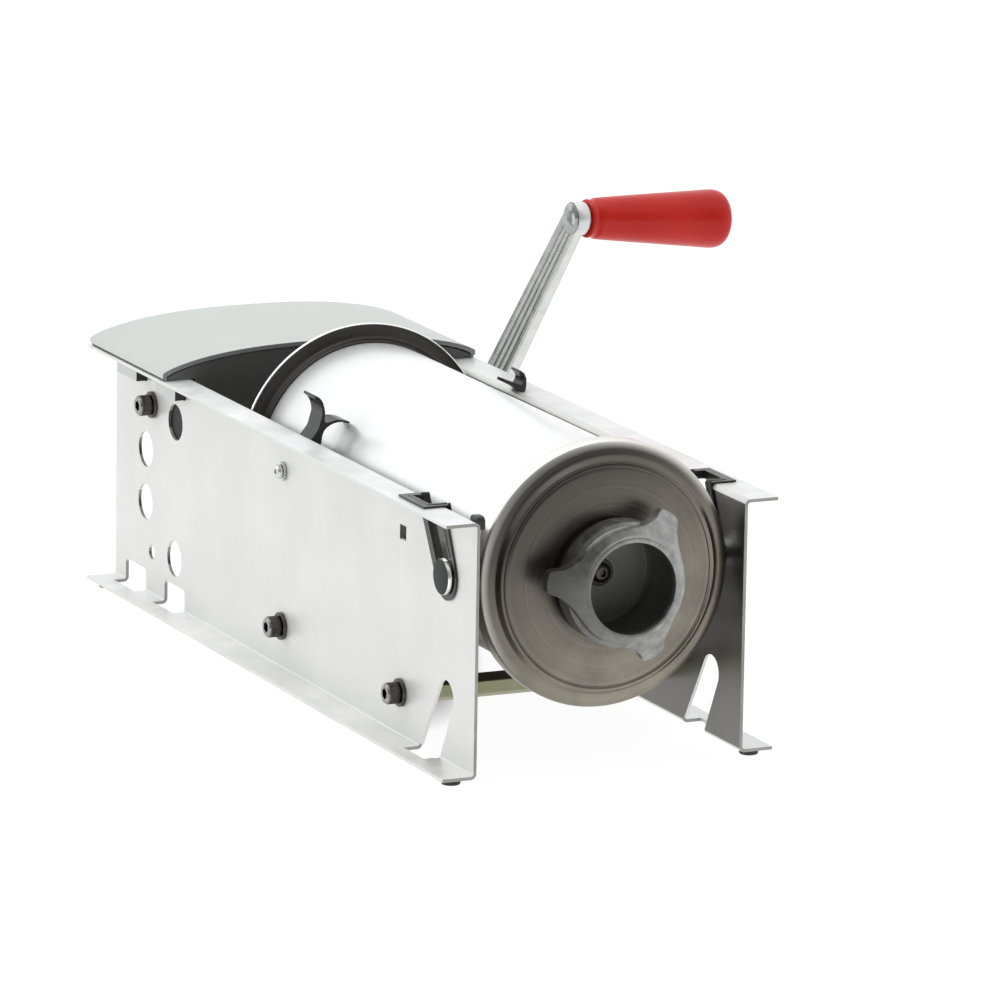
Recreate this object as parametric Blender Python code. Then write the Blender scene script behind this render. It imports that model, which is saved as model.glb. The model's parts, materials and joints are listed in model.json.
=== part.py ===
"""Horizontal hand-cranked sausage stuffer, built as separate named pieces.

Units are metres and +Z is up.  The outlet points to -Y and the crank is on the
+X side.  Z = 0 is the underside of the feet, and X = Y = 0 is the middle of the
whole machine's bounding box, so the plane midway between the two side panels
is X = X_MID.  The functions below place things from that mid-plane, from the
panels' front edges and from their underside; frame() shifts them.
"""
import math

import bmesh
import bpy
import numpy as np
from mathutils import Matrix, Vector

# ---------------------------------------------------------------- frame
PANEL_LENGTH = 0.547          # side panels, along Y
PANEL_HEIGHT = 0.1525         # side panels, along Z
PANEL_SHEET = 0.002           # sheet thickness
PANEL_GAP = 0.170             # clear width between the two webs
FLANGE_OUT = 0.1066           # |X| of the outer edge of the flanges
BEND_OUTER = 0.0035           # outside radius of the two bends
FOOT_HEIGHT = 0.004
GAP = 0.0003                  # assembly gap between pieces that touch

X_MID = -0.0637               # plane midway between the panels
Y_FRONT = -0.2593             # front edges of the panels
Z_BASE = FOOT_HEIGHT          # underside of the bottom flanges
WEB_IN = PANEL_GAP / 2        # |X| of the inner face of a web
WEB_OUT = WEB_IN + PANEL_SHEET
Z_MID = PANEL_HEIGHT / 2      # the punched pattern is symmetric about this

# punched pattern of a web: (distance from the front edge, height), metres
SHAFT_HOLE_R = 0.0115
SHAFT_HOLES = [(0.450, 0.1201), (0.450, 0.0324), (0.498, 0.09325), (0.498, 0.05925)]
BOLT_HOLE_R = 0.0047
FRONT_BOLT = (0.1033, 0.0280)
MIDDLE_BOLT = (0.2800, 0.0280)
REAR_BOLT = (0.4870, 0.1239)
SPARE_HOLE = (0.4870, 0.0286)
SQUARE_HOLE = (0.1033, 0.1245)
SQUARE_HOLE_SIDE = 0.009
CATCH_HOLE = (0.2800, 0.1245)
CATCH_HOLE_R = 0.0033

# slots that the cylinder trunnions drop into, and their lower twins
TRUNNION = (0.0396, 0.1125)
SLOT_R = 0.0103
SLOT_MOUTH_FRONT = 0.0478
SLOT_MOUTH_REAR = 0.0758
SLOT_FLANGE_OUT = 0.0970
TRIM_WALL = 0.0020
TRIM_LIP = 0.0040
TRIM_LIP_T = 0.0012

# cut-outs for the legs of the cover, and their lower twins
LEG_CUTS = [(0.4330, 0.4655), (0.4960, 0.5295)]
LEG_CUT_DEPTH = 0.0158
LEG_CUT_OUT = 0.0950

# ------------------------------------------------------------- cylinder
CYL_AXIS_Z = 0.1125
TUBE_R_OUT = 0.0710
TUBE_R_IN = 0.0695
TUBE_FRONT = 0.0144
TUBE_REAR = 0.3592
RING_R = 0.0826
CAP_R = 0.07975
CAP_FRONT = 0.0116
CAP_REAR = 0.0225
SPIGOT_R_IN = 0.0283
SPIGOT_R_OUT = 0.0310
SPIGOT_THREAD_R = 0.0323
SPIGOT_FRONT = -0.0240
TRUNNION_R = 0.0075
TRUNNION_HEAD_R = 0.0108

# ------------------------------------------------------------- ring nut
NUT_FRONT = -0.0284
NUT_WING_FRONT = -0.0168
NUT_BACK = -0.0035
NUT_OPENING_R = 0.0270
NUT_RIM_R = 0.0306
NUT_VALLEY_R = 0.0345
NUT_BODY_R = 0.0372
NUT_TIP_R = 0.0492
NUT_TIP_HALF = 0.0070
NUT_WING_THICK = 0.0050
NUT_LOBES_DEG = (54.0, 174.0, 294.0)

# --------------------------------------------------------------- piston
PISTON_R = 0.0688
PISTON_FRONT = 0.0180
PISTON_THICK = 0.0260
SEAL_R = 0.06942
STROKE = 0.350

# ------------------------------------------------------- rack and gears
MODULE = 0.002
PRESSURE = math.radians(20.0)
PINION_TEETH = 12
WHEEL_TEETH = 37
CRANK_TEETH = 18
PINION_SHAFT = (0.498, 0.09325)
CRANK_SHAFT = (0.450, 0.1201)
RACK_HALF_WIDTH = 0.010
RACK_TOP = 0.1219
RACK_END = 0.541
RACK_TEETH_FROM = 0.134
RACK_BACKLASH = 0.0002
GEAR_X = (0.026, 0.036)
SHAFT_R = 0.006
CRANK_SHAFT_R = 0.007
RUNNING = 0.0001

# ---------------------------------------------------------- crank, grip
BOSS = (0.3249, 0.2585)       # axis of the grip, same units as the holes
ARM_X = (0.1240, 0.1334)
BOSS_FACE_X = 0.1242
GRIP_X = (0.1345, 0.23426)
GRIP_LEAN = math.radians(6.0)  # the boss, pin and grip lean away from the arm

# ----------------------------------------------------------------- rear
COVER_FRONT = 0.4238
COVER_REAR = 0.5440
COVER_CREST = 0.1715
COVER_WALL = 0.0026
CASE_BOTTOM = 0.1070

SEG = 24                      # sides of a small round piece
BIG_SEG = 48                  # sides of the cylinder and what is coaxial with it


# =============================================================== helpers
def clear_scene():
    for obj in list(bpy.data.objects):
        bpy.data.objects.remove(obj, do_unlink=True)
    for mesh in list(bpy.data.meshes):
        bpy.data.meshes.remove(mesh)


def material(name, color, metallic=0.0, roughness=0.5):
    mat = bpy.data.materials.new(name)
    mat.use_nodes = True
    bsdf = mat.node_tree.nodes["Principled BSDF"]
    bsdf.inputs["Base Color"].default_value = (*color, 1.0)
    bsdf.inputs["Metallic"].default_value = metallic
    bsdf.inputs["Roughness"].default_value = roughness
    mat.diffuse_color = (*color, 1.0)
    return mat


FINISHES = {
    "panel_steel": ((0.74, 0.75, 0.73), 1.0, 0.35),
    "polished_steel": ((0.86, 0.87, 0.87), 1.0, 0.08),
    "spun_steel": ((0.52, 0.49, 0.45), 1.0, 0.22),
    "cast_aluminium": ((0.62, 0.62, 0.61), 1.0, 0.42),
    "crank_alloy": ((0.60, 0.62, 0.60), 1.0, 0.25),
    "zinc_steel": ((0.70, 0.72, 0.70), 1.0, 0.30),
    "olive_zinc": ((0.36, 0.37, 0.22), 1.0, 0.38),
    "dark_steel": ((0.10, 0.10, 0.10), 1.0, 0.35),
    "gear_steel": ((0.45, 0.45, 0.44), 1.0, 0.35),
    "brass_bush": ((0.66, 0.50, 0.22), 1.0, 0.35),
    "red_gloss": ((0.42, 0.004, 0.008), 0.0, 0.12),
    "cover_grey": ((0.58, 0.60, 0.58), 0.0, 0.38),
    "case_dark": ((0.028, 0.029, 0.033), 0.0, 0.45),
    "black_plastic": ((0.010, 0.010, 0.011), 0.0, 0.30),
    "foot_rubber": ((0.020, 0.020, 0.022), 0.0, 0.80),
    "piston_plastic": ((0.40, 0.41, 0.40), 0.0, 0.45),
    "seal_rubber": ((0.78, 0.78, 0.75), 0.0, 0.55),
}


def frame(point):
    """Shift a point given from the panel's front lower edge into the frame."""
    x, y, z = point
    return (x + X_MID, y + Y_FRONT, z + Z_BASE)


def make(name, verts, faces, finish):
    mesh = bpy.data.meshes.new(name)
    mesh.from_pydata([frame(v) for v in verts], [], faces)
    bm = bmesh.new()
    bm.from_mesh(mesh)
    bmesh.ops.remove_doubles(bm, verts=bm.verts, dist=1e-7)
    bmesh.ops.recalc_face_normals(bm, faces=bm.faces)
    bm.to_mesh(mesh)
    bm.free()
    obj = bpy.data.objects.new(name, mesh)
    bpy.context.scene.collection.objects.link(obj)
    if finish:
        color, metallic, roughness = FINISHES[finish]
        obj.data.materials.append(material(name, color, metallic, roughness))
    return obj


def place(axis, u, v, a):
    """Coordinates of (u, v) in the plane across an axis, at offset a."""
    if axis == "X":
        return (a, u, v)
    if axis == "Y":
        return (u, a, v)
    return (u, v, a)


def prism(name, outline, lo, hi, axis, finish=None):
    n = len(outline)
    verts = [place(axis, u, v, lo) for u, v in outline]
    verts += [place(axis, u, v, hi) for u, v in outline]
    faces = [tuple(range(n)), tuple(range(2 * n - 1, n - 1, -1))]
    faces += [(i, (i + 1) % n, n + (i + 1) % n, n + i) for i in range(n)]
    return make(name, verts, faces, finish)


def box(name, lo, hi, finish=None):
    outline = [(lo[0], lo[1]), (hi[0], lo[1]), (hi[0], hi[1]), (lo[0], hi[1])]
    return prism(name, outline, lo[2], hi[2], "Z", finish)


def lathe(name, profile, axis, centre, finish=None, seg=SEG, turn=0.0):
    """Turn a closed (radius, offset) loop about an axis through a centre."""
    verts, rings = [], []
    for r, a in profile:
        if r < 1e-9:
            verts.append(place(axis, centre[0], centre[1], a))
            rings.append([len(verts) - 1] * seg)
            continue
        ring = []
        for i in range(seg):
            t = 2 * math.pi * i / seg + turn
            u = centre[0] + r * math.cos(t)
            v = centre[1] + r * math.sin(t)
            verts.append(place(axis, u, v, a))
            ring.append(len(verts) - 1)
        rings.append(ring)
    faces = []
    for k in range(len(rings)):
        p, q = rings[k], rings[(k + 1) % len(rings)]
        if profile[k][0] < 1e-9 and profile[(k + 1) % len(rings)][0] < 1e-9:
            continue
        for i in range(seg):
            j = (i + 1) % seg
            loop = []
            for index in (p[i], p[j], q[j], q[i]):
                if index not in loop:
                    loop.append(index)
            faces.append(tuple(loop))
    return make(name, verts, faces, finish)


def rod(name, r, lo, hi, axis, centre, finish=None, seg=SEG, turn=0.0):
    return lathe(name, [(0, lo), (r, lo), (r, hi), (0, hi)], axis, centre, finish, seg, turn)


def pipe(name, r_in, r_out, lo, hi, axis, centre, finish=None, seg=SEG):
    profile = [(r_in, lo), (r_out, lo), (r_out, hi), (r_in, hi)]
    return lathe(name, profile, axis, centre, finish, seg)


def combine(obj, tools, operation):
    for tool in tools:
        mod = obj.modifiers.new("bool", "BOOLEAN")
        mod.operation = operation
        mod.solver = "EXACT"
        mod.object = tool
        bpy.context.view_layer.update()
        graph = bpy.context.evaluated_depsgraph_get()
        mesh = bpy.data.meshes.new_from_object(obj.evaluated_get(graph))
        obj.modifiers.clear()
        keep = obj.data.materials[0]
        obj.data = mesh
        obj.data.materials.clear()
        obj.data.materials.append(keep)
        bpy.data.objects.remove(tool, do_unlink=True)
    bm = bmesh.new()
    bm.from_mesh(obj.data)
    bmesh.ops.remove_doubles(bm, verts=bm.verts, dist=2e-6)
    for face in bm.faces:
        face.material_index = 0
    bm.to_mesh(obj.data)
    bm.free()
    obj.data.name = obj.name
    return obj


def cut(obj, *tools):
    return combine(obj, tools, "DIFFERENCE")


def fuse(obj, *tools):
    return combine(obj, tools, "UNION")


def set_origin(obj, point):
    at = frame(point)
    for vert in obj.data.vertices:
        vert.co.x -= at[0]
        vert.co.y -= at[1]
        vert.co.z -= at[2]
    obj.location = at
    return obj


def arc(cu, cv, r, start, end, steps):
    points = []
    for i in range(steps + 1):
        t = math.radians(start + (end - start) * i / steps)
        points.append((cu + r * math.cos(t), cv + r * math.sin(t)))
    return points


def offset_path(path, distance):
    """Move an open path sideways, to its left for a positive distance."""
    pts = np.array(path)
    seg = np.diff(pts, axis=0)
    seg /= np.linalg.norm(seg, axis=1)[:, None]
    left = np.stack([-seg[:, 1], seg[:, 0]], axis=1)
    out = []
    for i in range(len(pts)):
        if i == 0:
            normal = left[0]
        elif i == len(pts) - 1:
            normal = left[-1]
        else:
            normal = left[i - 1] + left[i]
            normal = normal / np.linalg.norm(normal)
            normal = normal / float(np.dot(normal, left[i]))
        out.append(tuple(pts[i] + distance * normal))
    return out


# ================================================================ panels
def channel_outline(side):
    """Section of a side panel: a web with both flanges bent outwards."""
    r, t, h = BEND_OUTER, PANEL_SHEET, PANEL_HEIGHT
    cx = WEB_IN + r
    points = [(FLANGE_OUT, 0.0)]
    points += arc(cx, r, r, 270, 180, 3)
    points += arc(cx, h - r, r, 180, 90, 3)
    points += [(FLANGE_OUT, h), (FLANGE_OUT, h - t)]
    points += arc(cx, h - r, r - t, 90, 180, 2)
    points += arc(cx, r, r - t, 180, 270, 2)
    points += [(FLANGE_OUT, t)]
    return [(side * x, z) for x, z in points]


def slot_edge(level):
    """Edge of a trunnion slot, open at a height: down, round the bottom, up."""
    y0, z0 = TRUNNION
    front = (SLOT_MOUTH_FRONT, PANEL_HEIGHT)
    rear = (SLOT_MOUTH_REAR, PANEL_HEIGHT)
    down_front = math.degrees(math.atan2(z0 - front[1], y0 - SLOT_R - front[0]))
    down_rear = math.degrees(math.atan2(z0 - rear[1], y0 + SLOT_R - rear[0]))
    start = down_front - 90.0 + 360.0
    end = down_rear + 90.0 + 360.0
    curve = arc(y0, z0, SLOT_R, start, end, 10)

    def reach(low, high):
        k = (level - low[1]) / (high[1] - low[1])
        return (low[0] + k * (high[0] - low[0]), level)

    return [reach(curve[0], front)] + curve + [reach(curve[-1], rear)]


def side_panel(side):
    name = "side_panel_right" if side > 0 else "side_panel_left"
    panel = prism(name, channel_outline(side), 0.0, PANEL_LENGTH, "Y", "panel_steel")
    lo, hi = sorted((side * (WEB_IN - 0.004), side * (WEB_OUT + 0.004)))
    tools = []
    for y, z in SHAFT_HOLES:
        tools.append(rod("tool", SHAFT_HOLE_R, lo, hi, "X", (y, z), seg=20))
    for y, z in (FRONT_BOLT, MIDDLE_BOLT, REAR_BOLT, SPARE_HOLE):
        tools.append(rod("tool", BOLT_HOLE_R, lo, hi, "X", (y, z), seg=12))
    tools.append(rod("tool", CATCH_HOLE_R, lo, hi, "X", CATCH_HOLE, seg=12))
    y, z = SQUARE_HOLE
    s = SQUARE_HOLE_SIDE / 2
    square = [(y - s, z - s), (y + s, z - s), (y + s, z + s), (y - s, z + s)]
    tools.append(prism("tool", square, lo, hi, "X"))
    a, b = sorted((side * (WEB_IN - 0.001), side * SLOT_FLANGE_OUT))
    for top in (True, False):
        outline = slot_edge(PANEL_HEIGHT + 0.003)
        deep = [(SLOT_MOUTH_FRONT, 0.1489), (SLOT_MOUTH_REAR, 0.1489),
                (SLOT_MOUTH_REAR, 0.1570), (SLOT_MOUTH_FRONT, 0.1570)]
        if not top:
            outline = [(v, PANEL_HEIGHT - w) for v, w in outline]
            deep = [(v, PANEL_HEIGHT - w) for v, w in deep]
        tools.append(prism("tool", outline, lo, hi, "X"))
        tools.append(prism("tool", deep, a, b, "X"))
    lo, hi = sorted((side * (WEB_IN - 0.004), side * LEG_CUT_OUT))
    for y0, y1 in LEG_CUTS:
        for top in (True, False):
            d = LEG_CUT_DEPTH
            outline = [(y0, -0.005)]
            outline += arc(y0 + 0.003, d - 0.003, 0.003, 180, 90, 2)
            outline += arc(y1 - 0.003, d - 0.003, 0.003, 90, 0, 2)
            outline += [(y1, -0.005)]
            if top:
                outline = [(v, PANEL_HEIGHT - w) for v, w in outline]
            tools.append(prism("tool", outline, lo, hi, "X"))
    return cut(panel, *tools)


def band(path, out, inner):
    """Strip that follows an open path between two sideways offsets."""
    return offset_path(path, out) + offset_path(path, inner)[::-1]


def slot_trim(side):
    """Black moulded edging that lines a trunnion slot and its mouth."""
    name = "slot_trim_right" if side > 0 else "slot_trim_left"
    step = 0.0002
    seat = GAP + 0.0011
    wall = band(slot_edge(PANEL_HEIGHT + 0.0012), GAP, TRIM_WALL + GAP)
    lip = band(slot_edge(PANEL_HEIGHT + 0.0007), -TRIM_LIP, seat)
    lip_low = band(slot_edge(PANEL_HEIGHT - 0.0065), -TRIM_LIP, seat)

    def sided(a, b):
        return sorted((side * a, side * b))

    a, b = sided(WEB_IN - GAP - TRIM_LIP_T, WEB_OUT + GAP + TRIM_LIP_T)
    trim = prism(name, wall, a, b, "X", "black_plastic")
    a, b = sided(WEB_IN - GAP - TRIM_LIP_T + step, WEB_IN - GAP)
    inner = prism("tool", lip, a, b, "X")
    a, b = sided(WEB_OUT + GAP, WEB_OUT + GAP + TRIM_LIP_T - step)
    outer = prism("tool", lip_low, a, b, "X")
    # mouth in the top flange: a U seen from above, with lips over and under
    y0, y1, x1 = SLOT_MOUTH_FRONT, SLOT_MOUTH_REAR, SLOT_FLANGE_OUT
    z0, z1 = PANEL_HEIGHT - PANEL_SHEET, PANEL_HEIGHT

    def mouth(x_start, out, t):
        outer_pts = [(x_start, y0 - out), (x1 + out, y0 - out),
                     (x1 + out, y1 + out), (x_start, y1 + out)]
        inner_pts = [(x_start, y1 - t), (x1 - t, y1 - t), (x1 - t, y0 + t), (x_start, y0 + t)]
        return [(side * u, v) for u, v in outer_pts + inner_pts]

    low, high = z0 - GAP - TRIM_LIP_T, z1 + GAP + TRIM_LIP_T
    wall_f = prism("tool", mouth(WEB_IN - 0.0009, -GAP, TRIM_WALL + GAP), low, high, "Z")
    lip_up = prism("tool", mouth(WEB_IN - 0.0011, TRIM_LIP, seat), z1 + GAP, high - step, "Z")
    lip_dn = prism("tool", mouth(WEB_OUT + 0.0028, TRIM_LIP, seat), low + step, z0 - GAP, "Z")
    return fuse(trim, inner, outer, wall_f, lip_up, lip_dn)


def hexagon(cy, cz, across_flats):
    r = across_flats / 2 / math.cos(math.pi / 6)
    return [(cy + r * math.cos(math.radians(30 + 60 * i)),
             cz + r * math.sin(math.radians(30 + 60 * i))) for i in range(6)]


def tie_bar(name, at):
    reach = WEB_IN - GAP
    bar = prism(name, hexagon(at[0], at[1], 0.013), -reach, reach, "X", "olive_zinc")
    return cut(bar, rod("tool", 0.0043, reach - 0.018, reach + 0.002, "X", at, seg=12),
               rod("tool", 0.0043, -reach - 0.002, -reach + 0.018, "X", at, seg=12))


def bolt(tag, side, at):
    """M8 socket-head cap screw with its washer, head outboard of the web."""
    suffix = tag + ("_right" if side > 0 else "_left")
    x0 = WEB_OUT + GAP
    x1 = x0 + 0.0020
    lo, hi = sorted((side * x0, side * x1))
    washer_pipe = pipe("washer_" + suffix, 0.0044, 0.0085, lo, hi, "X", at, "dark_steel", 12)
    tip, seat, top = WEB_IN - 0.014, x1 + GAP, x1 + GAP + 0.008
    profile = [(0, tip), (0.0040, tip), (0.0040, seat), (0.0065, seat),
               (0.0065, top - 0.0006), (0.0060, top), (0.0, top)]
    profile = [(r, side * a) for r, a in profile]
    screw = lathe("screw_" + suffix, profile, "X", at, "dark_steel", 12)
    lo, hi = sorted((side * (top - 0.0045), side * (top + 0.002)))
    cut(screw, prism("tool", hexagon(at[0], at[1], 0.006), lo, hi, "X"))
    return washer_pipe, screw


def foot(name, x, y):
    profile = [(0, -FOOT_HEIGHT), (0.0054, -FOOT_HEIGHT), (0.0062, -GAP), (0, -GAP)]
    return lathe(name, profile, "Z", (x, y), "foot_rubber", 16)


# ============================================================== cylinder
def cylinder():
    c = (0.0, CYL_AXIS_Z)
    pipe("cylinder_tube", TUBE_R_IN, TUBE_R_OUT, TUBE_FRONT, TUBE_REAR, "Y", c, "polished_steel", BIG_SEG)
    r0 = TUBE_R_OUT + GAP
    rear = TUBE_REAR
    ring = [(r0, rear - 0.0080), (r0 + 0.0012, rear - 0.0080), (r0 + 0.0022, rear - 0.0038),
            (RING_R - 0.0006, rear - 0.0026), (RING_R, rear - 0.0020), (RING_R, rear - 0.0004),
            (RING_R - 0.0006, rear), (r0, rear)]
    lathe("cylinder_ring", ring, "Y", c, "polished_steel", BIG_SEG)
    r1 = SPIGOT_R_OUT + GAP
    cap = [(r1, 0.0030), (0.0648, 0.0048), (0.0660, 0.0060), (0.0676, 0.0054), (0.0714, 0.0094),
           (0.0768, 0.0110), (CAP_R, 0.0128), (CAP_R, CAP_REAR), (CAP_R - 0.0018, CAP_REAR),
           (CAP_R - 0.0018, 0.0150), (0.0695, 0.0134), (0.0645, 0.0068), (r1, 0.0048)]
    lathe("cylinder_cap", cap, "Y", c, "spun_steel", BIG_SEG)
    f = SPIGOT_FRONT
    spigot = [(SPIGOT_R_IN, 0.0060), (SPIGOT_R_IN, f), (SPIGOT_R_OUT, f)]
    spigot += [(SPIGOT_R_OUT, f + 0.0015), (SPIGOT_THREAD_R, f + 0.0028), (SPIGOT_THREAD_R, -0.0020),
               (SPIGOT_R_OUT, -0.0007), (SPIGOT_R_OUT, 0.0060)]
    lathe("outlet_spigot", spigot, "Y", c, "polished_steel", BIG_SEG)
    for side in (-1, 1):
        name = "trunnion_right" if side > 0 else "trunnion_left"
        foot_x, head = 0.0714, WEB_OUT + GAP + TRIM_LIP_T + 0.0004
        profile = [(0, foot_x), (0.0125, foot_x), (0.0125, foot_x + 0.003), (TRUNNION_R, foot_x + 0.0045),
                   (TRUNNION_R, head), (TRUNNION_HEAD_R, head), (TRUNNION_HEAD_R, head + 0.0024),
                   (TRUNNION_HEAD_R - 0.0006, head + 0.0030), (0, head + 0.0030)]
        profile = [(r, side * a) for r, a in profile]
        lathe(name, profile, "X", TRUNNION, "polished_steel", 16)


def nut_outline():
    """Ring with three narrow wings that flare from it, seen along its axis."""
    points = []
    corner = math.degrees(math.asin(NUT_TIP_HALF / NUT_TIP_R))
    for lobe in NUT_LOBES_DEG:
        wing = [(NUT_TIP_R, -corner + 2.5), (NUT_TIP_R + 0.0004, 0.0), (NUT_TIP_R, corner - 2.5)]
        wing += [(NUT_TIP_R - 0.0018, corner), (0.0430, 11.5), (0.0395, 16.0),
                 (0.0368, 23.0), (0.0352, 33.0)]
        wing += [(NUT_VALLEY_R, 45.0), (NUT_VALLEY_R, 60.0), (NUT_VALLEY_R, 75.0)]
        wing += [(0.0352, 87.0), (0.0368, 97.0), (0.0395, 104.0),
                 (0.0430, 108.5), (NUT_TIP_R - 0.0018, 120.0 - corner)]
        for r, turn in wing:
            a = math.radians(lobe + turn)
            points.append((r * math.cos(a), CYL_AXIS_Z + r * math.sin(a)))
    return points


def ring_nut():
    c = (0.0, CYL_AXIS_Z)
    bore = SPIGOT_THREAD_R + RUNNING
    nut = prism("ring_nut", nut_outline(), NUT_FRONT - 0.001, NUT_BACK - 0.003, "Y", "cast_aluminium")
    far = 0.0540
    slope = (NUT_WING_FRONT - NUT_FRONT) / (NUT_TIP_R - NUT_RIM_R)
    lip = NUT_FRONT + 0.0012
    tip = lip + slope * (far - NUT_RIM_R)
    face = [(0, NUT_FRONT), (NUT_RIM_R - 0.0006, NUT_FRONT),
            (NUT_RIM_R, NUT_FRONT + 0.0006), (NUT_RIM_R, lip),
            (far, tip), (far, tip + NUT_WING_THICK), (NUT_BODY_R - 0.0012, NUT_WING_FRONT + 0.0012),
            (0, NUT_WING_FRONT + 0.0012)]
    combine(nut, [lathe("tool", face, "Y", c, seg=BIG_SEG)], "INTERSECT")
    body = [(0, NUT_FRONT + 0.0050), (0.0338, NUT_FRONT + 0.0050), (0.0338, NUT_WING_FRONT - 0.0040),
            (NUT_BODY_R, NUT_WING_FRONT), (NUT_BODY_R, NUT_BACK - 0.0008), (NUT_BODY_R - 0.0008, NUT_BACK),
            (0, NUT_BACK)]
    fuse(nut, lathe("tool", body, "Y", c, seg=BIG_SEG, turn=0.03))
    inner = [(0, NUT_FRONT - 0.002), (NUT_OPENING_R + 0.0008, NUT_FRONT - 0.002),
             (NUT_OPENING_R + 0.0008, NUT_FRONT + 0.0004), (NUT_OPENING_R, NUT_FRONT + 0.0014),
             (NUT_OPENING_R, SPIGOT_FRONT - 0.0006), (bore, SPIGOT_FRONT - 0.0006), (bore, NUT_BACK + 0.002),
             (0, NUT_BACK + 0.002)]
    cut(nut, lathe("tool", inner, "Y", c, seg=BIG_SEG))
    return set_origin(nut, (0.0, NUT_WING_FRONT, CYL_AXIS_Z))


# =================================================== piston, rack, gears
def piston():
    c = (0.0, CYL_AXIS_Z)
    f, t = PISTON_FRONT, PISTON_THICK
    disc = [(0.0043, f), (PISTON_R - 0.0015, f), (PISTON_R, f + 0.0015), (PISTON_R, f + 0.0085),
            (0.0648, f + 0.0085), (0.0648, f + 0.0155), (PISTON_R, f + 0.0155), (PISTON_R, f + t - 0.0015),
            (PISTON_R - 0.0015, f + t), (0.0043, f + t)]
    lathe("piston_disc", disc, "Y", c, "piston_plastic", BIG_SEG)
    seal = [(0.0651, f + 0.0088), (0.0675, f + 0.0088), (SEAL_R, f + 0.0104), (SEAL_R, f + 0.0136),
            (0.0675, f + 0.0152), (0.0651, f + 0.0152)]
    lathe("piston_seal", seal, "Y", c, "seal_rubber", BIG_SEG)
    pipe("piston_washer", 0.0043, 0.0082, f - GAP - 0.0015, f - GAP, "Y", c, "zinc_steel", 20)
    head = f - 2 * GAP - 0.0015
    back = f + t
    screw = [(0, head - 0.0032), (0.0038, head - 0.0032), (0.0052, head - 0.0024), (0.0060, head - 0.0010),
             (0.0060, head), (0.0040, head), (0.0040, back + 0.0070), (0, back + 0.0070)]
    screw = lathe("piston_screw", screw, "Y", c, "dark_steel", 16)
    socket = [(u, v) for u, v in hexagon(0.0, CYL_AXIS_Z, 0.005)]
    cut(screw, prism("tool", socket, head - 0.006, head - 0.0012, "Y"))
    hub = [(0.0043, back + GAP), (0.0230, back + GAP), (0.0230, back + 0.0080), (0.0210, back + 0.0100),
           (0.0, back + 0.0100), (0.0, back + 0.0073), (0.0043, back + 0.0073)]
    lathe("piston_hub", hub, "Y", c, "zinc_steel", 20)


def rack():
    """Toothed bar with its teeth underneath, above the pinion."""
    pitch = math.pi * MODULE
    line = PINION_SHAFT[1] + MODULE * PINION_TEETH / 2
    half = (pitch / 2 - RACK_BACKLASH) / 2
    tip, root = line - MODULE, line + 1.25 * MODULE
    half_tip = half - MODULE * math.tan(PRESSURE)
    half_root = half + 1.25 * MODULE * math.tan(PRESSURE)
    start = PISTON_FRONT + PISTON_THICK + 0.0103
    points = [(start, tip)]
    first = math.ceil((RACK_TEETH_FROM - PINION_SHAFT[0]) / pitch)
    last = math.floor((RACK_END - 0.003 - PINION_SHAFT[0]) / pitch)
    points.append((PINION_SHAFT[0] + first * pitch - pitch + half_tip, tip))
    points.append((PINION_SHAFT[0] + first * pitch - pitch + half_root, root))
    for k in range(first, last + 1):
        y = PINION_SHAFT[0] + k * pitch
        points += [(y - half_root, root), (y - half_tip, tip), (y + half_tip, tip), (y + half_root, root)]
    points += [(RACK_END, root), (RACK_END, RACK_TOP), (start, RACK_TOP)]
    return prism("rack", points, -RACK_HALF_WIDTH, RACK_HALF_WIDTH, "X", "gear_steel")


def gear_radii(teeth, samples, thin):
    """Radii from the middle of a tooth space to the middle of a tooth.

    The flank is generated by rolling a rack-shaped cutter round the blank.
    thin widens the cutter to leave backlash.
    """
    m = MODULE
    pitch_r = m * teeth / 2
    pitch = math.pi * m
    outer, root = pitch_r + m, pitch_r - 1.2 * m
    radii = np.linspace(root, outer, 260)
    roll = np.linspace(-1.0, 1.0, 601) * (0.15 + 11.0 / teeth)
    angles = np.linspace(0.0, math.pi / teeth, samples)
    result = []
    for theta in angles:
        angle = theta + roll[:, None]
        v = radii[None, :] * np.cos(angle) - pitch_r
        u = radii[None, :] * np.sin(angle) - pitch_r * roll[:, None]
        u = np.abs((u + pitch / 2) % pitch - pitch / 2)
        inside = (u < pitch / 4 + thin + v * math.tan(PRESSURE)) & (v > -1.2 * m)
        hit = inside.any(axis=0)
        result.append(float(radii[np.argmax(hit)]) if hit.any() else outer)
    return angles, np.array(result)


def gear_outline(teeth, centre, space_deg, thin=0.00009):
    """Gear outline in the YZ plane with a tooth space at space_deg."""
    m = MODULE
    pitch_r = m * teeth / 2
    angles, radii = gear_radii(teeth, 400, thin)
    half = []
    for r in (pitch_r - 1.12 * m, pitch_r, pitch_r + m):
        t = float(angles[np.argmax(radii >= r - 0.00002)])
        half.append((r, t))
    half[0] = (pitch_r - 1.2 * m, half[0][1] * 0.94)
    pitch = 2 * math.pi / teeth
    one = half + [(r, pitch - t) for r, t in reversed(half)]
    points = []
    for k in range(teeth):
        for r, t in one:
            a = math.radians(space_deg) + pitch * k + t
            points.append((centre[0] + r * math.cos(a), centre[1] + r * math.sin(a)))
    return points


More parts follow.
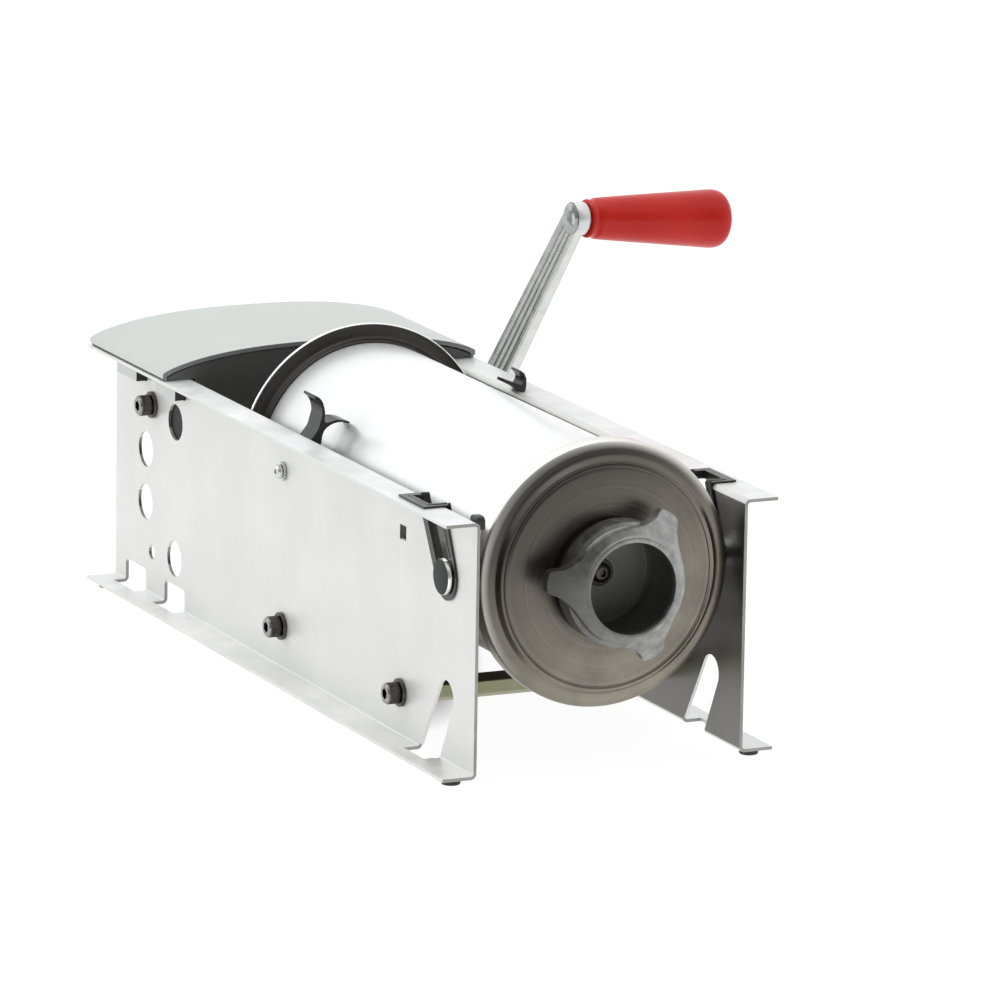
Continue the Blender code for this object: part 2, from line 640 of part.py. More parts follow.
def gears():
    mesh_deg = math.degrees(math.atan2(CRANK_SHAFT[1] - PINION_SHAFT[1], CRANK_SHAFT[0] - PINION_SHAFT[0]))
    origin = (0.0, *PINION_SHAFT)
    outline = gear_outline(PINION_TEETH, PINION_SHAFT, 90.0)
    pinion = prism("pinion", outline, -0.0115, 0.0115, "X", "gear_steel")
    fuse(pinion, rod("tool", SHAFT_R, -0.0240, 0.0520, "X", PINION_SHAFT, seg=24))
    set_origin(pinion, origin)
    wheel = prism("gear_wheel", gear_outline(WHEEL_TEETH, PINION_SHAFT, mesh_deg), GEAR_X[0], GEAR_X[1], "X",
                  "gear_steel")
    hub = rod("tool", 0.0120, GEAR_X[0] - 0.006, GEAR_X[1] + 0.0015, "X", PINION_SHAFT)
    fuse(wheel, hub)
    bore = rod("tool", SHAFT_R + GAP, GEAR_X[0] - 0.010, GEAR_X[1] + 0.006, "X", PINION_SHAFT)
    cut(wheel, bore)
    set_origin(wheel, origin)
    step = 360.0 / CRANK_TEETH
    outline = gear_outline(CRANK_TEETH, CRANK_SHAFT, mesh_deg + 180.0 + step / 2)
    shaft = prism("crank_shaft", outline, GEAR_X[0], GEAR_X[1], "X", "gear_steel")
    fuse(shaft, rod("tool", CRANK_SHAFT_R, GEAR_X[0] - 0.003, 0.1290, "X", CRANK_SHAFT, seg=24))
    return set_origin(shaft, (0.0, *CRANK_SHAFT))


def gear_housing():
    """Cast frame that carries both shafts and guides the rack."""
    y0, y1, z0, z1 = 0.4320, 0.5400, 0.0440, 0.1400
    left = (-0.0240, -0.0180)
    right = (0.0440, 0.0500)
    floor = 0.0050
    outline = [(left[0], z0), (right[1], z0), (right[1], z1), (right[0], z1),
               (right[0], z0 + floor), (left[1], z0 + floor), (left[1], z1), (left[0], z1)]
    body = prism("gear_housing", outline, y0, y1, "Y", "cast_aluminium")
    reach = WEB_IN - GAP
    fuse(body, rod("tool", 0.0100, -reach, left[1] - 0.001, "X", REAR_BOLT, seg=16),
         rod("tool", 0.0100, right[0] + 0.001, reach, "X", REAR_BOLT, seg=16),
         rod("tool", 0.0135, right[0] + 0.001, reach - 0.010, "X", CRANK_SHAFT, seg=20))
    bush = 0.0093
    cut(body, rod("tool", 0.0043, -reach - 0.002, -reach + 0.018, "X", REAR_BOLT, seg=12),
        rod("tool", 0.0043, reach - 0.018, reach + 0.002, "X", REAR_BOLT, seg=12),
        rod("tool", bush, left[0] - 0.002, left[1] + 0.002, "X", PINION_SHAFT),
        rod("tool", bush, right[0] - 0.002, right[1] + 0.002, "X", PINION_SHAFT),
        rod("tool", bush, right[0] - 0.002, reach, "X", CRANK_SHAFT))
    inner = SHAFT_R + RUNNING
    pipe("pinion_bush_left", inner, 0.0090, left[0] - 0.0005, left[1] + 0.0005, "X",
         PINION_SHAFT, "brass_bush")
    pipe("pinion_bush_right", inner, 0.0090, right[0] - 0.0005, right[1] + 0.0005, "X",
         PINION_SHAFT, "brass_bush")
    r = CRANK_SHAFT_R + RUNNING
    x0, x1 = right[0] - 0.0005, WEB_OUT + GAP
    sleeve = [(r, x0), (0.0090, x0), (0.0090, x1), (0.0145, x1), (0.0145, x1 + 0.0020),
              (0.0135, x1 + 0.0030), (r, x1 + 0.0030)]
    lathe("crank_bush", sleeve, "X", CRANK_SHAFT, "brass_bush", 24)
    z = RACK_TOP + GAP
    guide = [(-0.0177, z), (0.0115, z), (0.0115, z + 0.0100), (-0.0177, z + 0.0100)]
    return prism("rack_guide", guide, 0.4780, 0.5180, "Y", "black_plastic")


# ======================================================== crank and grip
def lean(obj):
    """Tilt a piece of the grip's end about the boss, away from the arm."""
    hub, boss = np.array(CRANK_SHAFT), np.array(BOSS)
    along = (boss - hub) / np.linalg.norm(boss - hub)
    turn = Matrix.Rotation(GRIP_LEAN, 4, Vector((0.0, along[1], -along[0])))
    pivot = Vector(frame((BOSS_FACE_X, *BOSS)))
    obj.data.transform(Matrix.Translation(pivot) @ turn @ Matrix.Translation(-pivot))
    return obj


def crank_arm():
    """Cast arm with a fluted inner face, a hub and a boss for the grip."""
    hub, boss = np.array(CRANK_SHAFT), np.array(BOSS)
    along = (boss - hub) / np.linalg.norm(boss - hub)
    across = np.array([-along[1], along[0]])
    x_in, x_out = ARM_X
    flute = 0.0013
    section = [(-1.0, x_in + 0.0012), (-0.90, x_in), (-0.62, x_in), (-0.50, x_in + flute), (-0.34, x_in + flute),
               (-0.24, x_in), (-0.16, x_in), (-0.08, x_in + flute), (0.12, x_in + flute), (0.20, x_in),
               (0.30, x_in), (0.38, x_in + flute), (0.56, x_in + flute), (0.66, x_in), (0.90, x_in),
               (1.0, x_in + 0.0012), (1.0, x_out - 0.0015), (0.86, x_out), (-0.86, x_out), (-1.0, x_out - 0.0015)]
    verts = []
    for centre, half, thinner in ((hub, 0.0122, 0.0), (boss, 0.0094, 0.0020)):
        for w, x in section:
            p = centre + across * w * half
            x -= thinner if x > x_out - 0.002 else 0.0
            verts.append((x, float(p[0]), float(p[1])))
    n = len(section)
    faces = [tuple(range(n)), tuple(range(2 * n - 1, n - 1, -1))]
    faces += [(i, (i + 1) % n, n + (i + 1) % n, n + i) for i in range(n)]
    arm = make("crank_arm", verts, faces, "crank_alloy")
    hub_profile = [(0, 0.1120), (0.0150, 0.1120), (0.0162, 0.1132), (0.0168, 0.1328), (0.0156, 0.1340), (0, 0.1340)]
    boss_profile = [(0, 0.1242), (0.0094, 0.1242), (0.0104, 0.1252), (0.0104, 0.1321), (0.0098, 0.1327),
                    (0, 0.1327)]
    fuse(arm, lathe("tool", hub_profile, "X", CRANK_SHAFT, seg=24),
         lean(lathe("tool", boss_profile, "X", BOSS, seg=20)))
    cut(arm, rod("tool", CRANK_SHAFT_R + GAP, 0.1100, 0.1293, "X", CRANK_SHAFT, seg=20),
        lean(rod("tool", 0.0045 + GAP, 0.1200, 0.1360, "X", BOSS, seg=16)))
    set_origin(arm, (0.0, *CRANK_SHAFT))
    pin = [(0, 0.1262), (0.0045, 0.1262), (0.0045, 0.1327 + GAP), (0.0085, 0.1327 + GAP), (0.0085, 0.1343),
           (0.0050, 0.1343), (0.0050, 0.2200), (0, 0.2200)]
    lean(lathe("grip_pin", pin, "X", BOSS, "zinc_steel", 16))


def grip():
    x0, x1 = GRIP_X
    bore = 0.0050 + RUNNING
    profile = [(bore, x0), (0.0106, x0), (0.0119, x0 + 0.0008), (0.0126, x0 + 0.0030), (0.0155, x0 + 0.0450),
               (0.0181, x1 - 0.0150), (0.0183, x1 - 0.0090), (0.0172, x1 - 0.0048), (0.0145, x1 - 0.0022),
               (0.0090, x1 - 0.0006), (0, x1), (0, 0.2210), (bore, 0.2210)]
    return lean(lathe("grip", profile, "X", BOSS, "red_gloss", 24))


# ===================================================== cover, case, clips
def arch(half_width, crest, low, steps):
    """Arched outline from the right foot over the crest to the left foot."""
    points = []
    for i in range(steps + 1):
        x = half_width * math.cos(math.pi * i / steps)
        k = 1.0 - (abs(x) / (half_width + 0.0004)) ** 2.5
        points.append((x, low + (crest - low) * k ** 0.75))
    return points


def rear_cover():
    base = PANEL_HEIGHT + GAP
    half = FLANGE_OUT
    outer = arch(half, COVER_CREST, base + 0.0042, 28)
    outline = [(half, base)] + outer + [(-half, base)]
    cover = prism("rear_cover", outline, COVER_FRONT, COVER_REAR, "Y", "cover_grey")
    w = COVER_WALL
    inner = arch(half - w, COVER_CREST - w, base + 0.0022, 28)
    hollow = [(half - w, base - 0.004)] + inner + [(-half + w, base - 0.004)]
    cut(cover, prism("tool", hollow, COVER_FRONT - 0.004, COVER_REAR - w, "Y"))
    legs = []
    for side in (-1, 1):
        a, b = sorted((side * 0.0880, side * 0.0943))
        for y0, y1 in LEG_CUTS:
            legs.append(box("tool", (a, y0 + 0.0006, PANEL_HEIGHT - 0.0150), (b, y1 - 0.0006, 0.1623)))
    return fuse(cover, *legs)


def gear_case():
    """Dark moulding under the cover: front face and walls round the gears."""
    w = 0.0024
    base = PANEL_HEIGHT + GAP
    x_out = FLANGE_OUT - COVER_WALL - GAP - 0.0004
    inner = arch(x_out, COVER_CREST - COVER_WALL - 0.0006, base + 0.0012, 28)
    x_in = WEB_IN - GAP
    y0 = COVER_FRONT + 0.0008
    y1 = 0.5436
    low = CASE_BOTTOM
    front = [(x_out, base)] + inner + [(-x_out, base), (-x_in, base), (-x_in, low), (-0.013, low),
                                       (-0.013, 0.1290), (0.013, 0.1290), (0.013, low), (x_in, low), (x_in, base)]
    case = prism("gear_case", front, y0, y0 + w, "Y", "case_dark")
    top = PANEL_HEIGHT - 0.004
    wall_y = y0 + w / 2
    left = box("tool", (-x_in, wall_y, low), (-x_in + w, y1, top))
    right = box("tool", (x_in - w, wall_y, low), (x_in, y1, top))
    rear = [(x_in - w / 2, low), (x_in - w / 2, top), (-x_in + w / 2, top), (-x_in + w / 2, low), (-0.013, low),
            (-0.013, 0.1290), (0.013, 0.1290), (0.013, low)]
    back = prism("tool", rear, y1 - w, y1 - 0.0002, "Y")
    fuse(case, left, right, back)
    return cut(case, rod("tool", 0.0104, -x_in - 0.003, -x_in + 0.006, "X", REAR_BOLT, seg=16),
               rod("tool", 0.0104, x_in - 0.006, x_in + 0.003, "X", REAR_BOLT, seg=16),
               rod("tool", 0.0098, x_in - 0.006, x_in + 0.003, "X", CRANK_SHAFT, seg=16))


def catches():
    """Black moulded catches that hold the rear of the cylinder down."""
    hook = [(-84.7, 117.0), (-84.7, 144.0), (-84.3, 147.2), (-81.6, 150.5), (-77.7, 155.4), (-76.1, 160.2),
            (-75.2, 163.2), (-74.9, 166.2), (-75.9, 170.2), (-77.9, 173.4), (-80.0, 175.1),
            (-79.4, 176.5), (-77.6, 175.6), (-76.0, 174.2), (-74.3, 171.3), (-73.1, 166.3), (-73.2, 162.4),
            (-72.9, 159.6), (-70.4, 159.6), (-66.2, 160.6), (-61.9, 160.4), (-57.2, 159.0), (-57.4, 157.9),
            (-61.9, 159.1), (-65.9, 158.9), (-69.8, 157.6), (-73.1, 155.1), (-74.7, 151.5), (-75.4, 147.2),
            (-77.4, 140.0), (-80.6, 133.4), (-82.0, 131.0), (-82.0, 117.0)]
    hook = [(x * 0.001, z * 0.001) for x, z in hook]
    left = prism("catch_left", hook, 0.250, 0.267, "Y", "black_plastic")
    ear = box("tool", (-0.0847, 0.266, 0.1172), (-0.0822, 0.288, 0.1328))
    fuse(left, ear)
    cut(left, rod("tool", 0.0033, -0.088, -0.078, "X", CATCH_HOLE, seg=12))
    x0 = -(WEB_OUT + GAP)
    pipe("catch_washer", 0.0032, 0.0058, x0 - 0.0016, x0, "X", CATCH_HOLE, "dark_steel", 16)
    x1 = x0 - 0.0016 - GAP
    screw = [(0, -0.0795), (0.0029, -0.0795), (0.0029, x1), (0.0045, x1), (0.0045, x1 - 0.0010),
             (0.0036, x1 - 0.0026), (0.0020, x1 - 0.0032), (0, x1 - 0.0032)]
    screw = lathe("catch_screw", screw, "X", CATCH_HOLE, "zinc_steel", 12)
    cut(screw, prism("tool", hexagon(CATCH_HOLE[0], CATCH_HOLE[1], 0.0030), x1 - 0.004, x1 - 0.0016, "X"))
    stop = [(78.4, 159.2), (78.9, 161.0), (84.5, 158.8), (89.3, 156.8), (90.6, 158.6), (91.0, 161.0), (89.8, 163.4),
            (87.8, 165.2), (88.6, 166.4), (91.2, 164.6), (92.8, 161.2), (92.8, 157.0), (92.2, 152.8), (88.8, 152.8),
            (87.0, 154.8), (83.8, 156.6)]
    stop = [(x * 0.001, z * 0.001) for x, z in stop]
    prism("catch_right", stop, 0.318, 0.331, "Y", "black_plastic")
    bump = [(4.6, 146.8), (15.4, 146.8), (15.4, 152.4), (14.4, 154.0), (12.6, 154.8), (7.4, 154.8), (5.6, 154.0),
            (4.6, 152.4)]
    bump = [(y * 0.001, z * 0.001) for y, z in bump]
    return prism("corner_bumper", bump, -WEB_IN + GAP, -WEB_IN + 0.0052, "X", "black_plastic")


def build():
    clear_scene()
    for side in (-1, 1):
        side_panel(side)
        slot_trim(side)
    tie_bar("tie_bar_front", FRONT_BOLT)
    tie_bar("tie_bar_middle", MIDDLE_BOLT)
    for side in (-1, 1):
        bolt("front", side, FRONT_BOLT)
        bolt("middle", side, MIDDLE_BOLT)
        bolt("rear", side, REAR_BOLT)
    for side, tag in ((-1, "left"), (1, "right")):
        foot("foot_front_" + tag, side * 0.0965, 0.0105)
        foot("foot_rear_" + tag, side * 0.0965, 0.5365)
    cylinder()
    ring_nut()
    piston()
    rack()
    gears()
    gear_housing()
    crank_arm()
    grip()
    rear_cover()
    gear_case()
    catches()


build()
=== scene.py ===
import json
import math

import bmesh
import bpy
import numpy as np
from mathutils import Matrix, Vector


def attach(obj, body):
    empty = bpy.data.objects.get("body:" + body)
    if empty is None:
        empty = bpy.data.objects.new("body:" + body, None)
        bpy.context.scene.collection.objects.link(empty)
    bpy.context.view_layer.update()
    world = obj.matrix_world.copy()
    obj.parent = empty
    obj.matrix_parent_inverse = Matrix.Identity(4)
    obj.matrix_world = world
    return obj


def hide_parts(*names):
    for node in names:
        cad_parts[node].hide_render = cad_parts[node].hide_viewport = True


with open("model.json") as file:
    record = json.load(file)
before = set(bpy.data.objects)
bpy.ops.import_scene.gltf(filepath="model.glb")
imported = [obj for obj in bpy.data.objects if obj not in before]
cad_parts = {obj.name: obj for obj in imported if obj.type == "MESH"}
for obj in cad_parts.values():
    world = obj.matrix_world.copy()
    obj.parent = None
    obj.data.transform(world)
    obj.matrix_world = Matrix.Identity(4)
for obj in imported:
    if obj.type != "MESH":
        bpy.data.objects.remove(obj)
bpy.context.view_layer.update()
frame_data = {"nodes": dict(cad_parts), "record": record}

# ------------------------ frame
PANEL_LENGTH = 0.547          # side panels, along Y
PANEL_HEIGHT = 0.1525         # side panels, along Z
PANEL_SHEET = 0.002           # sheet thickness
PANEL_GAP = 0.170             # clear width between the two webs
FLANGE_OUT = 0.1066           # |X| of the outer edge of the flanges
BEND_OUTER = 0.0035           # outside radius of the two bends
FOOT_HEIGHT = 0.004
GAP = 0.0003                  # assembly gap between pieces that touch

X_MID = -0.0637               # plane midway between the panels
Y_FRONT = -0.2593             # front edges of the panels
Z_BASE = FOOT_HEIGHT          # underside of the bottom flanges
WEB_IN = PANEL_GAP / 2        # |X| of the inner face of a web
WEB_OUT = WEB_IN + PANEL_SHEET

# punched pattern of a web: (distance from the front edge, height), metres
SHAFT_HOLE_R = 0.0115
SHAFT_HOLES = [(0.450, 0.1201), (0.450, 0.0324), (0.498, 0.09325), (0.498, 0.05925)]
BOLT_HOLE_R = 0.0047
FRONT_BOLT = (0.1033, 0.0280)
MIDDLE_BOLT = (0.2800, 0.0280)
REAR_BOLT = (0.4870, 0.1239)
SPARE_HOLE = (0.4870, 0.0286)
SQUARE_HOLE = (0.1033, 0.1245)
SQUARE_HOLE_SIDE = 0.009
CATCH_HOLE = (0.2800, 0.1245)
CATCH_HOLE_R = 0.0033

# slots that the cylinder trunnions drop into, and their lower twins
TRUNNION = (0.0396, 0.1125)
SLOT_R = 0.0103
SLOT_MOUTH_FRONT = 0.0478
SLOT_MOUTH_REAR = 0.0758
SLOT_FLANGE_OUT = 0.0970
TRIM_WALL = 0.0020
TRIM_LIP = 0.0040
TRIM_LIP_T = 0.0012

# cut-outs for the legs of the cover, and their lower twins
LEG_CUTS = [(0.4330, 0.4655), (0.4960, 0.5295)]
LEG_CUT_DEPTH = 0.0158
LEG_CUT_OUT = 0.0950

# ------------------------ cylinder
CYL_AXIS_Z = 0.1125
AXIS = (0.0, CYL_AXIS_Z)      # (X, Z) of the cylinder
TUBE_R_OUT = 0.0710
TUBE_R_IN = 0.0695
TUBE_FRONT = 0.0144
TUBE_REAR = 0.3592
RING_R = 0.0826
CAP_R = 0.07975
CAP_REAR = 0.0225
SPIGOT_R_IN = 0.0283
SPIGOT_R_OUT = 0.0310
SPIGOT_THREAD_R = 0.0323
SPIGOT_FRONT = -0.0240
TRUNNION_R = 0.0075
TRUNNION_HEAD_R = 0.0108

# ------------------------ ring nut
NUT_FRONT = -0.0284
NUT_WING_FRONT = -0.0168
NUT_BACK = -0.0035
NUT_OPENING_R = 0.0270
NUT_RIM_R = 0.0306
NUT_VALLEY_R = 0.0345
NUT_BODY_R = 0.0372
NUT_TIP_R = 0.0492
NUT_TIP_HALF = 0.0070
NUT_WING_THICK = 0.0050
NUT_LOBES_DEG = (54.0, 174.0, 294.0)

# ------------------------ piston
PISTON_R = 0.0688
PISTON_FRONT = 0.0180
PISTON_THICK = 0.0260
SEAL_R = 0.06942

CRANK_SHAFT = (0.450, 0.1201)
CRANK_SHAFT_R = 0.007
RUNNING = 0.0001

# ------------------------ crank, grip
BOSS = (0.3249, 0.2585)       # axis of the grip, same units as the holes
ARM_X = (0.1240, 0.1334)
BOSS_FACE_X = 0.1242
GRIP_X = (0.1345, 0.23426)
GRIP_LEAN = math.radians(6.0)  # the boss, pin and grip lean away from the arm

# ------------------------ rear
COVER_FRONT = 0.4238
COVER_REAR = 0.5440
COVER_CREST = 0.1715
COVER_WALL = 0.0026
CASE_BOTTOM = 0.1070

SEG = 64                      # sides of a small round piece
BIG_SEG = 192                 # sides of the cylinder and what is coaxial with it


# ======================== helpers
FINE = {}                     # finely modelled piece by the node that it stands for


def frame(point):
    """Shift a point given from the panels' front lower edge into the frame."""
    x, y, z = point
    return (x + X_MID, y + Y_FRONT, z + Z_BASE)


def add_object(name, data):
    obj = bpy.data.objects.new(name, data)
    bpy.context.scene.collection.objects.link(obj)
    return obj


def make(name, verts, faces, finish):
    """Add a closed mesh. One with a finish is a visible piece, not a tool."""
    label = "fine_" + name if finish else name
    mesh = bpy.data.meshes.new(label)
    mesh.from_pydata([frame(v) for v in verts], [], faces)
    bm = bmesh.new()
    bm.from_mesh(mesh)
    bmesh.ops.remove_doubles(bm, verts=bm.verts, dist=1e-7)
    bmesh.ops.recalc_face_normals(bm, faces=bm.faces)
    bm.to_mesh(mesh)
    bm.free()
    obj = add_object(label, mesh)
    if finish:
        obj.data.materials.append(LOOKS[finish])
        FINE[name] = obj
    return obj


def smooth(obj, degrees=32.0):
    """Shade smooth, with edges sharper than an angle kept hard."""
    mesh = obj.data
    mesh.polygons.foreach_set("use_smooth", [True] * len(mesh.polygons))
    mesh.set_sharp_from_angle(angle=math.radians(degrees))
    return obj


def bevel(obj, width, segments, degrees):
    mod = obj.modifiers.new("rounded", "BEVEL")
    mod.width = width
    mod.segments = segments
    mod.limit_method = "ANGLE"
    mod.angle_limit = math.radians(degrees)
    return mod


def round_edges(obj, width, segments=2, degrees=35.0):
    """Round the edges sharper than an angle."""
    mod = bevel(obj, width, segments, degrees)
    mod.harden_normals = False
    mod.miter_outer = "MITER_ARC"
    return smooth(obj)


def spline(points, steps=6, closed=False):
    """Catmull-Rom curve through points, as a list of points."""
    pts = [np.array(p, float) for p in points]
    n = len(pts)
    out = []
    for i in range(n if closed else n - 1):
        if closed:
            a, b, c, d = (pts[(i + k) % n] for k in (-1, 0, 1, 2))
        else:
            a, b, c, d = pts[max(i - 1, 0)], pts[i], pts[i + 1], pts[min(i + 2, n - 1)]
        for s in range(steps):
            t = s / steps
            out.append(tuple(0.5 * (2 * b + (c - a) * t + (2 * a - 5 * b + 4 * c - d) * t * t
                                    + (3 * b - a - 3 * c + d) * t ** 3)))
    if not closed:
        out.append(tuple(pts[-1]))
    return out


def handed(stem, side):
    return stem + ("_right" if side > 0 else "_left")


def span(side, a, b):
    """Two distances from the middle plane as X limits on one side of it."""
    return sorted((side * a, side * b))


def to_side(profile, side):
    return [(r, side * a) for r, a in profile]


def place(axis, u, v, a):
    """Coordinates of (u, v) in the plane across an axis, at offset a."""
    if axis == "X":
        return (a, u, v)
    if axis == "Y":
        return (u, a, v)
    return (u, v, a)


def prism(name, outline, lo, hi, axis, finish=None):
    n = len(outline)
    verts = [place(axis, u, v, lo) for u, v in outline]
    verts += [place(axis, u, v, hi) for u, v in outline]
    faces = [tuple(range(n)), tuple(range(2 * n - 1, n - 1, -1))]
    faces += [(i, (i + 1) % n, n + (i + 1) % n, n + i) for i in range(n)]
    return make(name, verts, faces, finish)


def block(lo, hi):
    outline = [(lo[0], lo[1]), (hi[0], lo[1]), (hi[0], hi[1]), (lo[0], hi[1])]
    return prism("tool", outline, lo[2], hi[2], "Z")


def lathe(name, profile, axis, centre, finish=None, seg=SEG, turn=0.0):
    """Turn a closed (radius, offset) loop about an axis through a centre."""
    verts, rings = [], []
    for r, a in profile:
        if r < 1e-9:
            verts.append(place(axis, centre[0], centre[1], a))
            rings.append([len(verts) - 1] * seg)
            continue
        ring = []
        for i in range(seg):
            t = 2 * math.pi * i / seg + turn
            u = centre[0] + r * math.cos(t)
            v = centre[1] + r * math.sin(t)
            verts.append(place(axis, u, v, a))
            ring.append(len(verts) - 1)
        rings.append(ring)
    faces = []
    for k in range(len(rings)):
        p, q = rings[k], rings[(k + 1) % len(rings)]
        if profile[k][0] < 1e-9 and profile[(k + 1) % len(rings)][0] < 1e-9:
            continue
        for i in range(seg):
            j = (i + 1) % seg
            loop = []
            for index in (p[i], p[j], q[j], q[i]):
                if index not in loop:
                    loop.append(index)
            faces.append(tuple(loop))
    return make(name, verts, faces, finish)


def rod(r, lo, hi, centre, seg=SEG):
    """Cylinder along X to cut with."""
    return lathe("tool", [(0, lo), (r, lo), (r, hi), (0, hi)], "X", centre, None, seg)


def coaxial(name, profile, finish, degrees=32.0):
    """Turn a piece about the cylinder's axis and shade it smooth."""
    obj = lathe(name, profile, "Y", AXIS, finish, BIG_SEG)
    return smooth(obj, degrees)


def combine(obj, tools, operation):
    """Apply Booleans one by one, then drop the tools."""
    for tool in tools:
        mod = obj.modifiers.new("bool", "BOOLEAN")
        mod.operation = operation
        mod.solver = "EXACT"
        mod.object = tool
        bpy.context.view_layer.update()
        graph = bpy.context.evaluated_depsgraph_get()
        mesh = bpy.data.meshes.new_from_object(obj.evaluated_get(graph))
        obj.modifiers.clear()
        keep = list(obj.data.materials)
        obj.data = mesh
        obj.data.materials.clear()
        for mat in keep:
            obj.data.materials.append(mat)
        bpy.data.objects.remove(tool, do_unlink=True)
    bm = bmesh.new()
    bm.from_mesh(obj.data)
    bmesh.ops.remove_doubles(bm, verts=bm.verts, dist=2e-6)
    for face in bm.faces:
        face.material_index = 0
    bm.to_mesh(obj.data)
    bm.free()
    obj.data.name = obj.name
    return obj


def cut(obj, *tools):
    return combine(obj, tools, "DIFFERENCE")


def fuse(obj, *tools):
    return combine(obj, tools, "UNION")


def arc(cu, cv, r, start, end, steps):
    points = []
    for i in range(steps + 1):
        t = math.radians(start + (end - start) * i / steps)
        points.append((cu + r * math.cos(t), cv + r * math.sin(t)))
    return points


def offset_path(path, distance):
    """Move an open path sideways, to its left for a positive distance."""
    pts = np.array(path)
    seg = np.diff(pts, axis=0)
    seg /= np.linalg.norm(seg, axis=1)[:, None]
    left = np.stack([-seg[:, 1], seg[:, 0]], axis=1)
    out = []
    for i in range(len(pts)):
        if i == 0:
            normal = left[0]
        elif i == len(pts) - 1:
            normal = left[-1]
        else:
            normal = left[i - 1] + left[i]
            normal = normal / np.linalg.norm(normal)
            normal = normal / float(np.dot(normal, left[i]))
        out.append(tuple(pts[i] + distance * normal))
    return out


# ======================== finishes
# how far noise is squeezed along each axis, for grain that runs along Y
ALONG_Y = (1.0, 0.05, 1.0)
MOSTLY_ALONG_Y = (1.0, 0.2, 1.0)
PARTLY_ALONG_Y = (1.0, 0.35, 1.0)


def finish_nodes(name):
    mat = bpy.data.materials.new(name)
    mat.use_nodes = True
    tree = mat.node_tree
    return mat, tree, tree.nodes["Principled BSDF"]


def set_inputs(node, **values):
    """Set a node's inputs by name, with underscores for the spaces."""
    for key, value in values.items():
        node.inputs[key.replace("_", " ")].default_value = value
    return node


def add_node(tree, kind, **values):
    return set_inputs(tree.nodes.new("ShaderNode" + kind), **values)


def add_noise(tree, scale, stretch=(1, 1, 1), detail=4.0, rough=0.55):
    mapping = add_node(tree, "Mapping", Scale=stretch)
    noise = add_node(tree, "TexNoise", Scale=scale, Detail=detail, Roughness=rough)
    tree.links.new(object_position(tree), mapping.inputs["Vector"])
    tree.links.new(mapping.outputs["Vector"], noise.inputs["Vector"])
    return noise.outputs["Fac"]


def remap(tree, value, low, high, start=0.3, stop=0.7):
    node = add_node(tree, "MapRange", From_Min=start, From_Max=stop, To_Min=low, To_Max=high)
    tree.links.new(value, node.inputs["Value"])
    return node.outputs["Result"]


def mix_color(tree, value, a, b):
    """Blend two colours by a value. Each is a triple or another node's output."""
    node = tree.nodes.new("ShaderNodeMix")
    node.data_type = "RGBA"
    for socket, color in (("A", a), ("B", b)):
        if isinstance(color, tuple):
            node.inputs[socket].default_value = (*color, 1.0)
        else:
            tree.links.new(color, node.inputs[socket])
    tree.links.new(value, node.inputs["Factor"])
    return node.outputs["Result"]


def add_bump(tree, shader, height, depth, strength=1.0):
    node = add_node(tree, "Bump", Strength=strength, Distance=depth)
    tree.links.new(height, node.inputs["Height"])
    previous = shader.inputs["Normal"].links
    if previous:
        tree.links.new(previous[0].from_socket, node.inputs["Normal"])
    tree.links.new(node.outputs["Normal"], shader.inputs["Normal"])


def object_position(tree):
    return tree.nodes.new("ShaderNodeTexCoord").outputs["Object"]


def vector_math(tree, operation, value, fixed=None):
    """Work on a vector alone, or on it and a fixed vector."""
    node = tree.nodes.new("ShaderNodeVectorMath")
    node.operation = operation
    tree.links.new(value, node.inputs[0])
    if fixed is not None:
        node.inputs[1].default_value = fixed
    return node.outputs["Value" if operation in ("LENGTH", "DOT_PRODUCT") else "Vector"]


def distance_from_axis(tree):
    """Distance of a point from the cylinder's axis."""
    axis = frame((0.0, 0.0, CYL_AXIS_Z))
    offset = vector_math(tree, "SUBTRACT", object_position(tree), axis)
    return vector_math(tree, "LENGTH", vector_math(tree, "MULTIPLY", offset, (1.0, 0.0, 1.0)))


def rings_about_axis(tree, spacing):
    """Noise that changes only with the distance from the cylinder's axis."""
    noise = tree.nodes.new("ShaderNodeTexNoise")
    noise.noise_dimensions = "1D"
    set_inputs(noise, Scale=1.0 / spacing, Detail=5.0)
    tree.links.new(distance_from_axis(tree), noise.inputs["W"])
    return noise.outputs["Fac"]


def across(tree, direction, centre, low, high, reach):
    """Ramp along one direction, from low to high either side of a centre."""
    way = Vector(direction).normalized()
    along = vector_math(tree, "DOT_PRODUCT", object_position(tree), way)
    middle = way.dot(Vector(frame(centre)))
    return remap(tree, along, low, high, middle - reach, middle + reach)


def multiply(tree, a, b):
    node = tree.nodes.new("ShaderNodeMath")
    node.operation = "MULTIPLY"
    tree.links.new(a, node.inputs[0])
    tree.links.new(b, node.inputs[1])
    return node.outputs["Value"]


def set_tone(tree, shader, blot, dark, light, rough):
    """Vary colour and roughness together with one noise."""
    color = mix_color(tree, remap(tree, blot, 0.0, 1.0), dark, light)
    tree.links.new(color, shader.inputs["Base Color"])
    tree.links.new(remap(tree, blot, *rough), shader.inputs["Roughness"])


def metal(name, dark, light, rough, grain=(1, 1, 1), grain_scale=900.0, depth=2e-5, blotch=18.0,
          metallic=1.0):
    """Metal with blotchy tone, uneven polish and a fine grain of real size."""
    mat, tree, shader = finish_nodes(name)
    blot = add_noise(tree, blotch, detail=6.0, rough=0.6)
    fine = add_noise(tree, grain_scale, grain, detail=3.0)
    set_tone(tree, shader, blot, dark, light, rough)
    shader.inputs["Metallic"].default_value = metallic
    add_bump(tree, shader, fine, depth)
    return mat


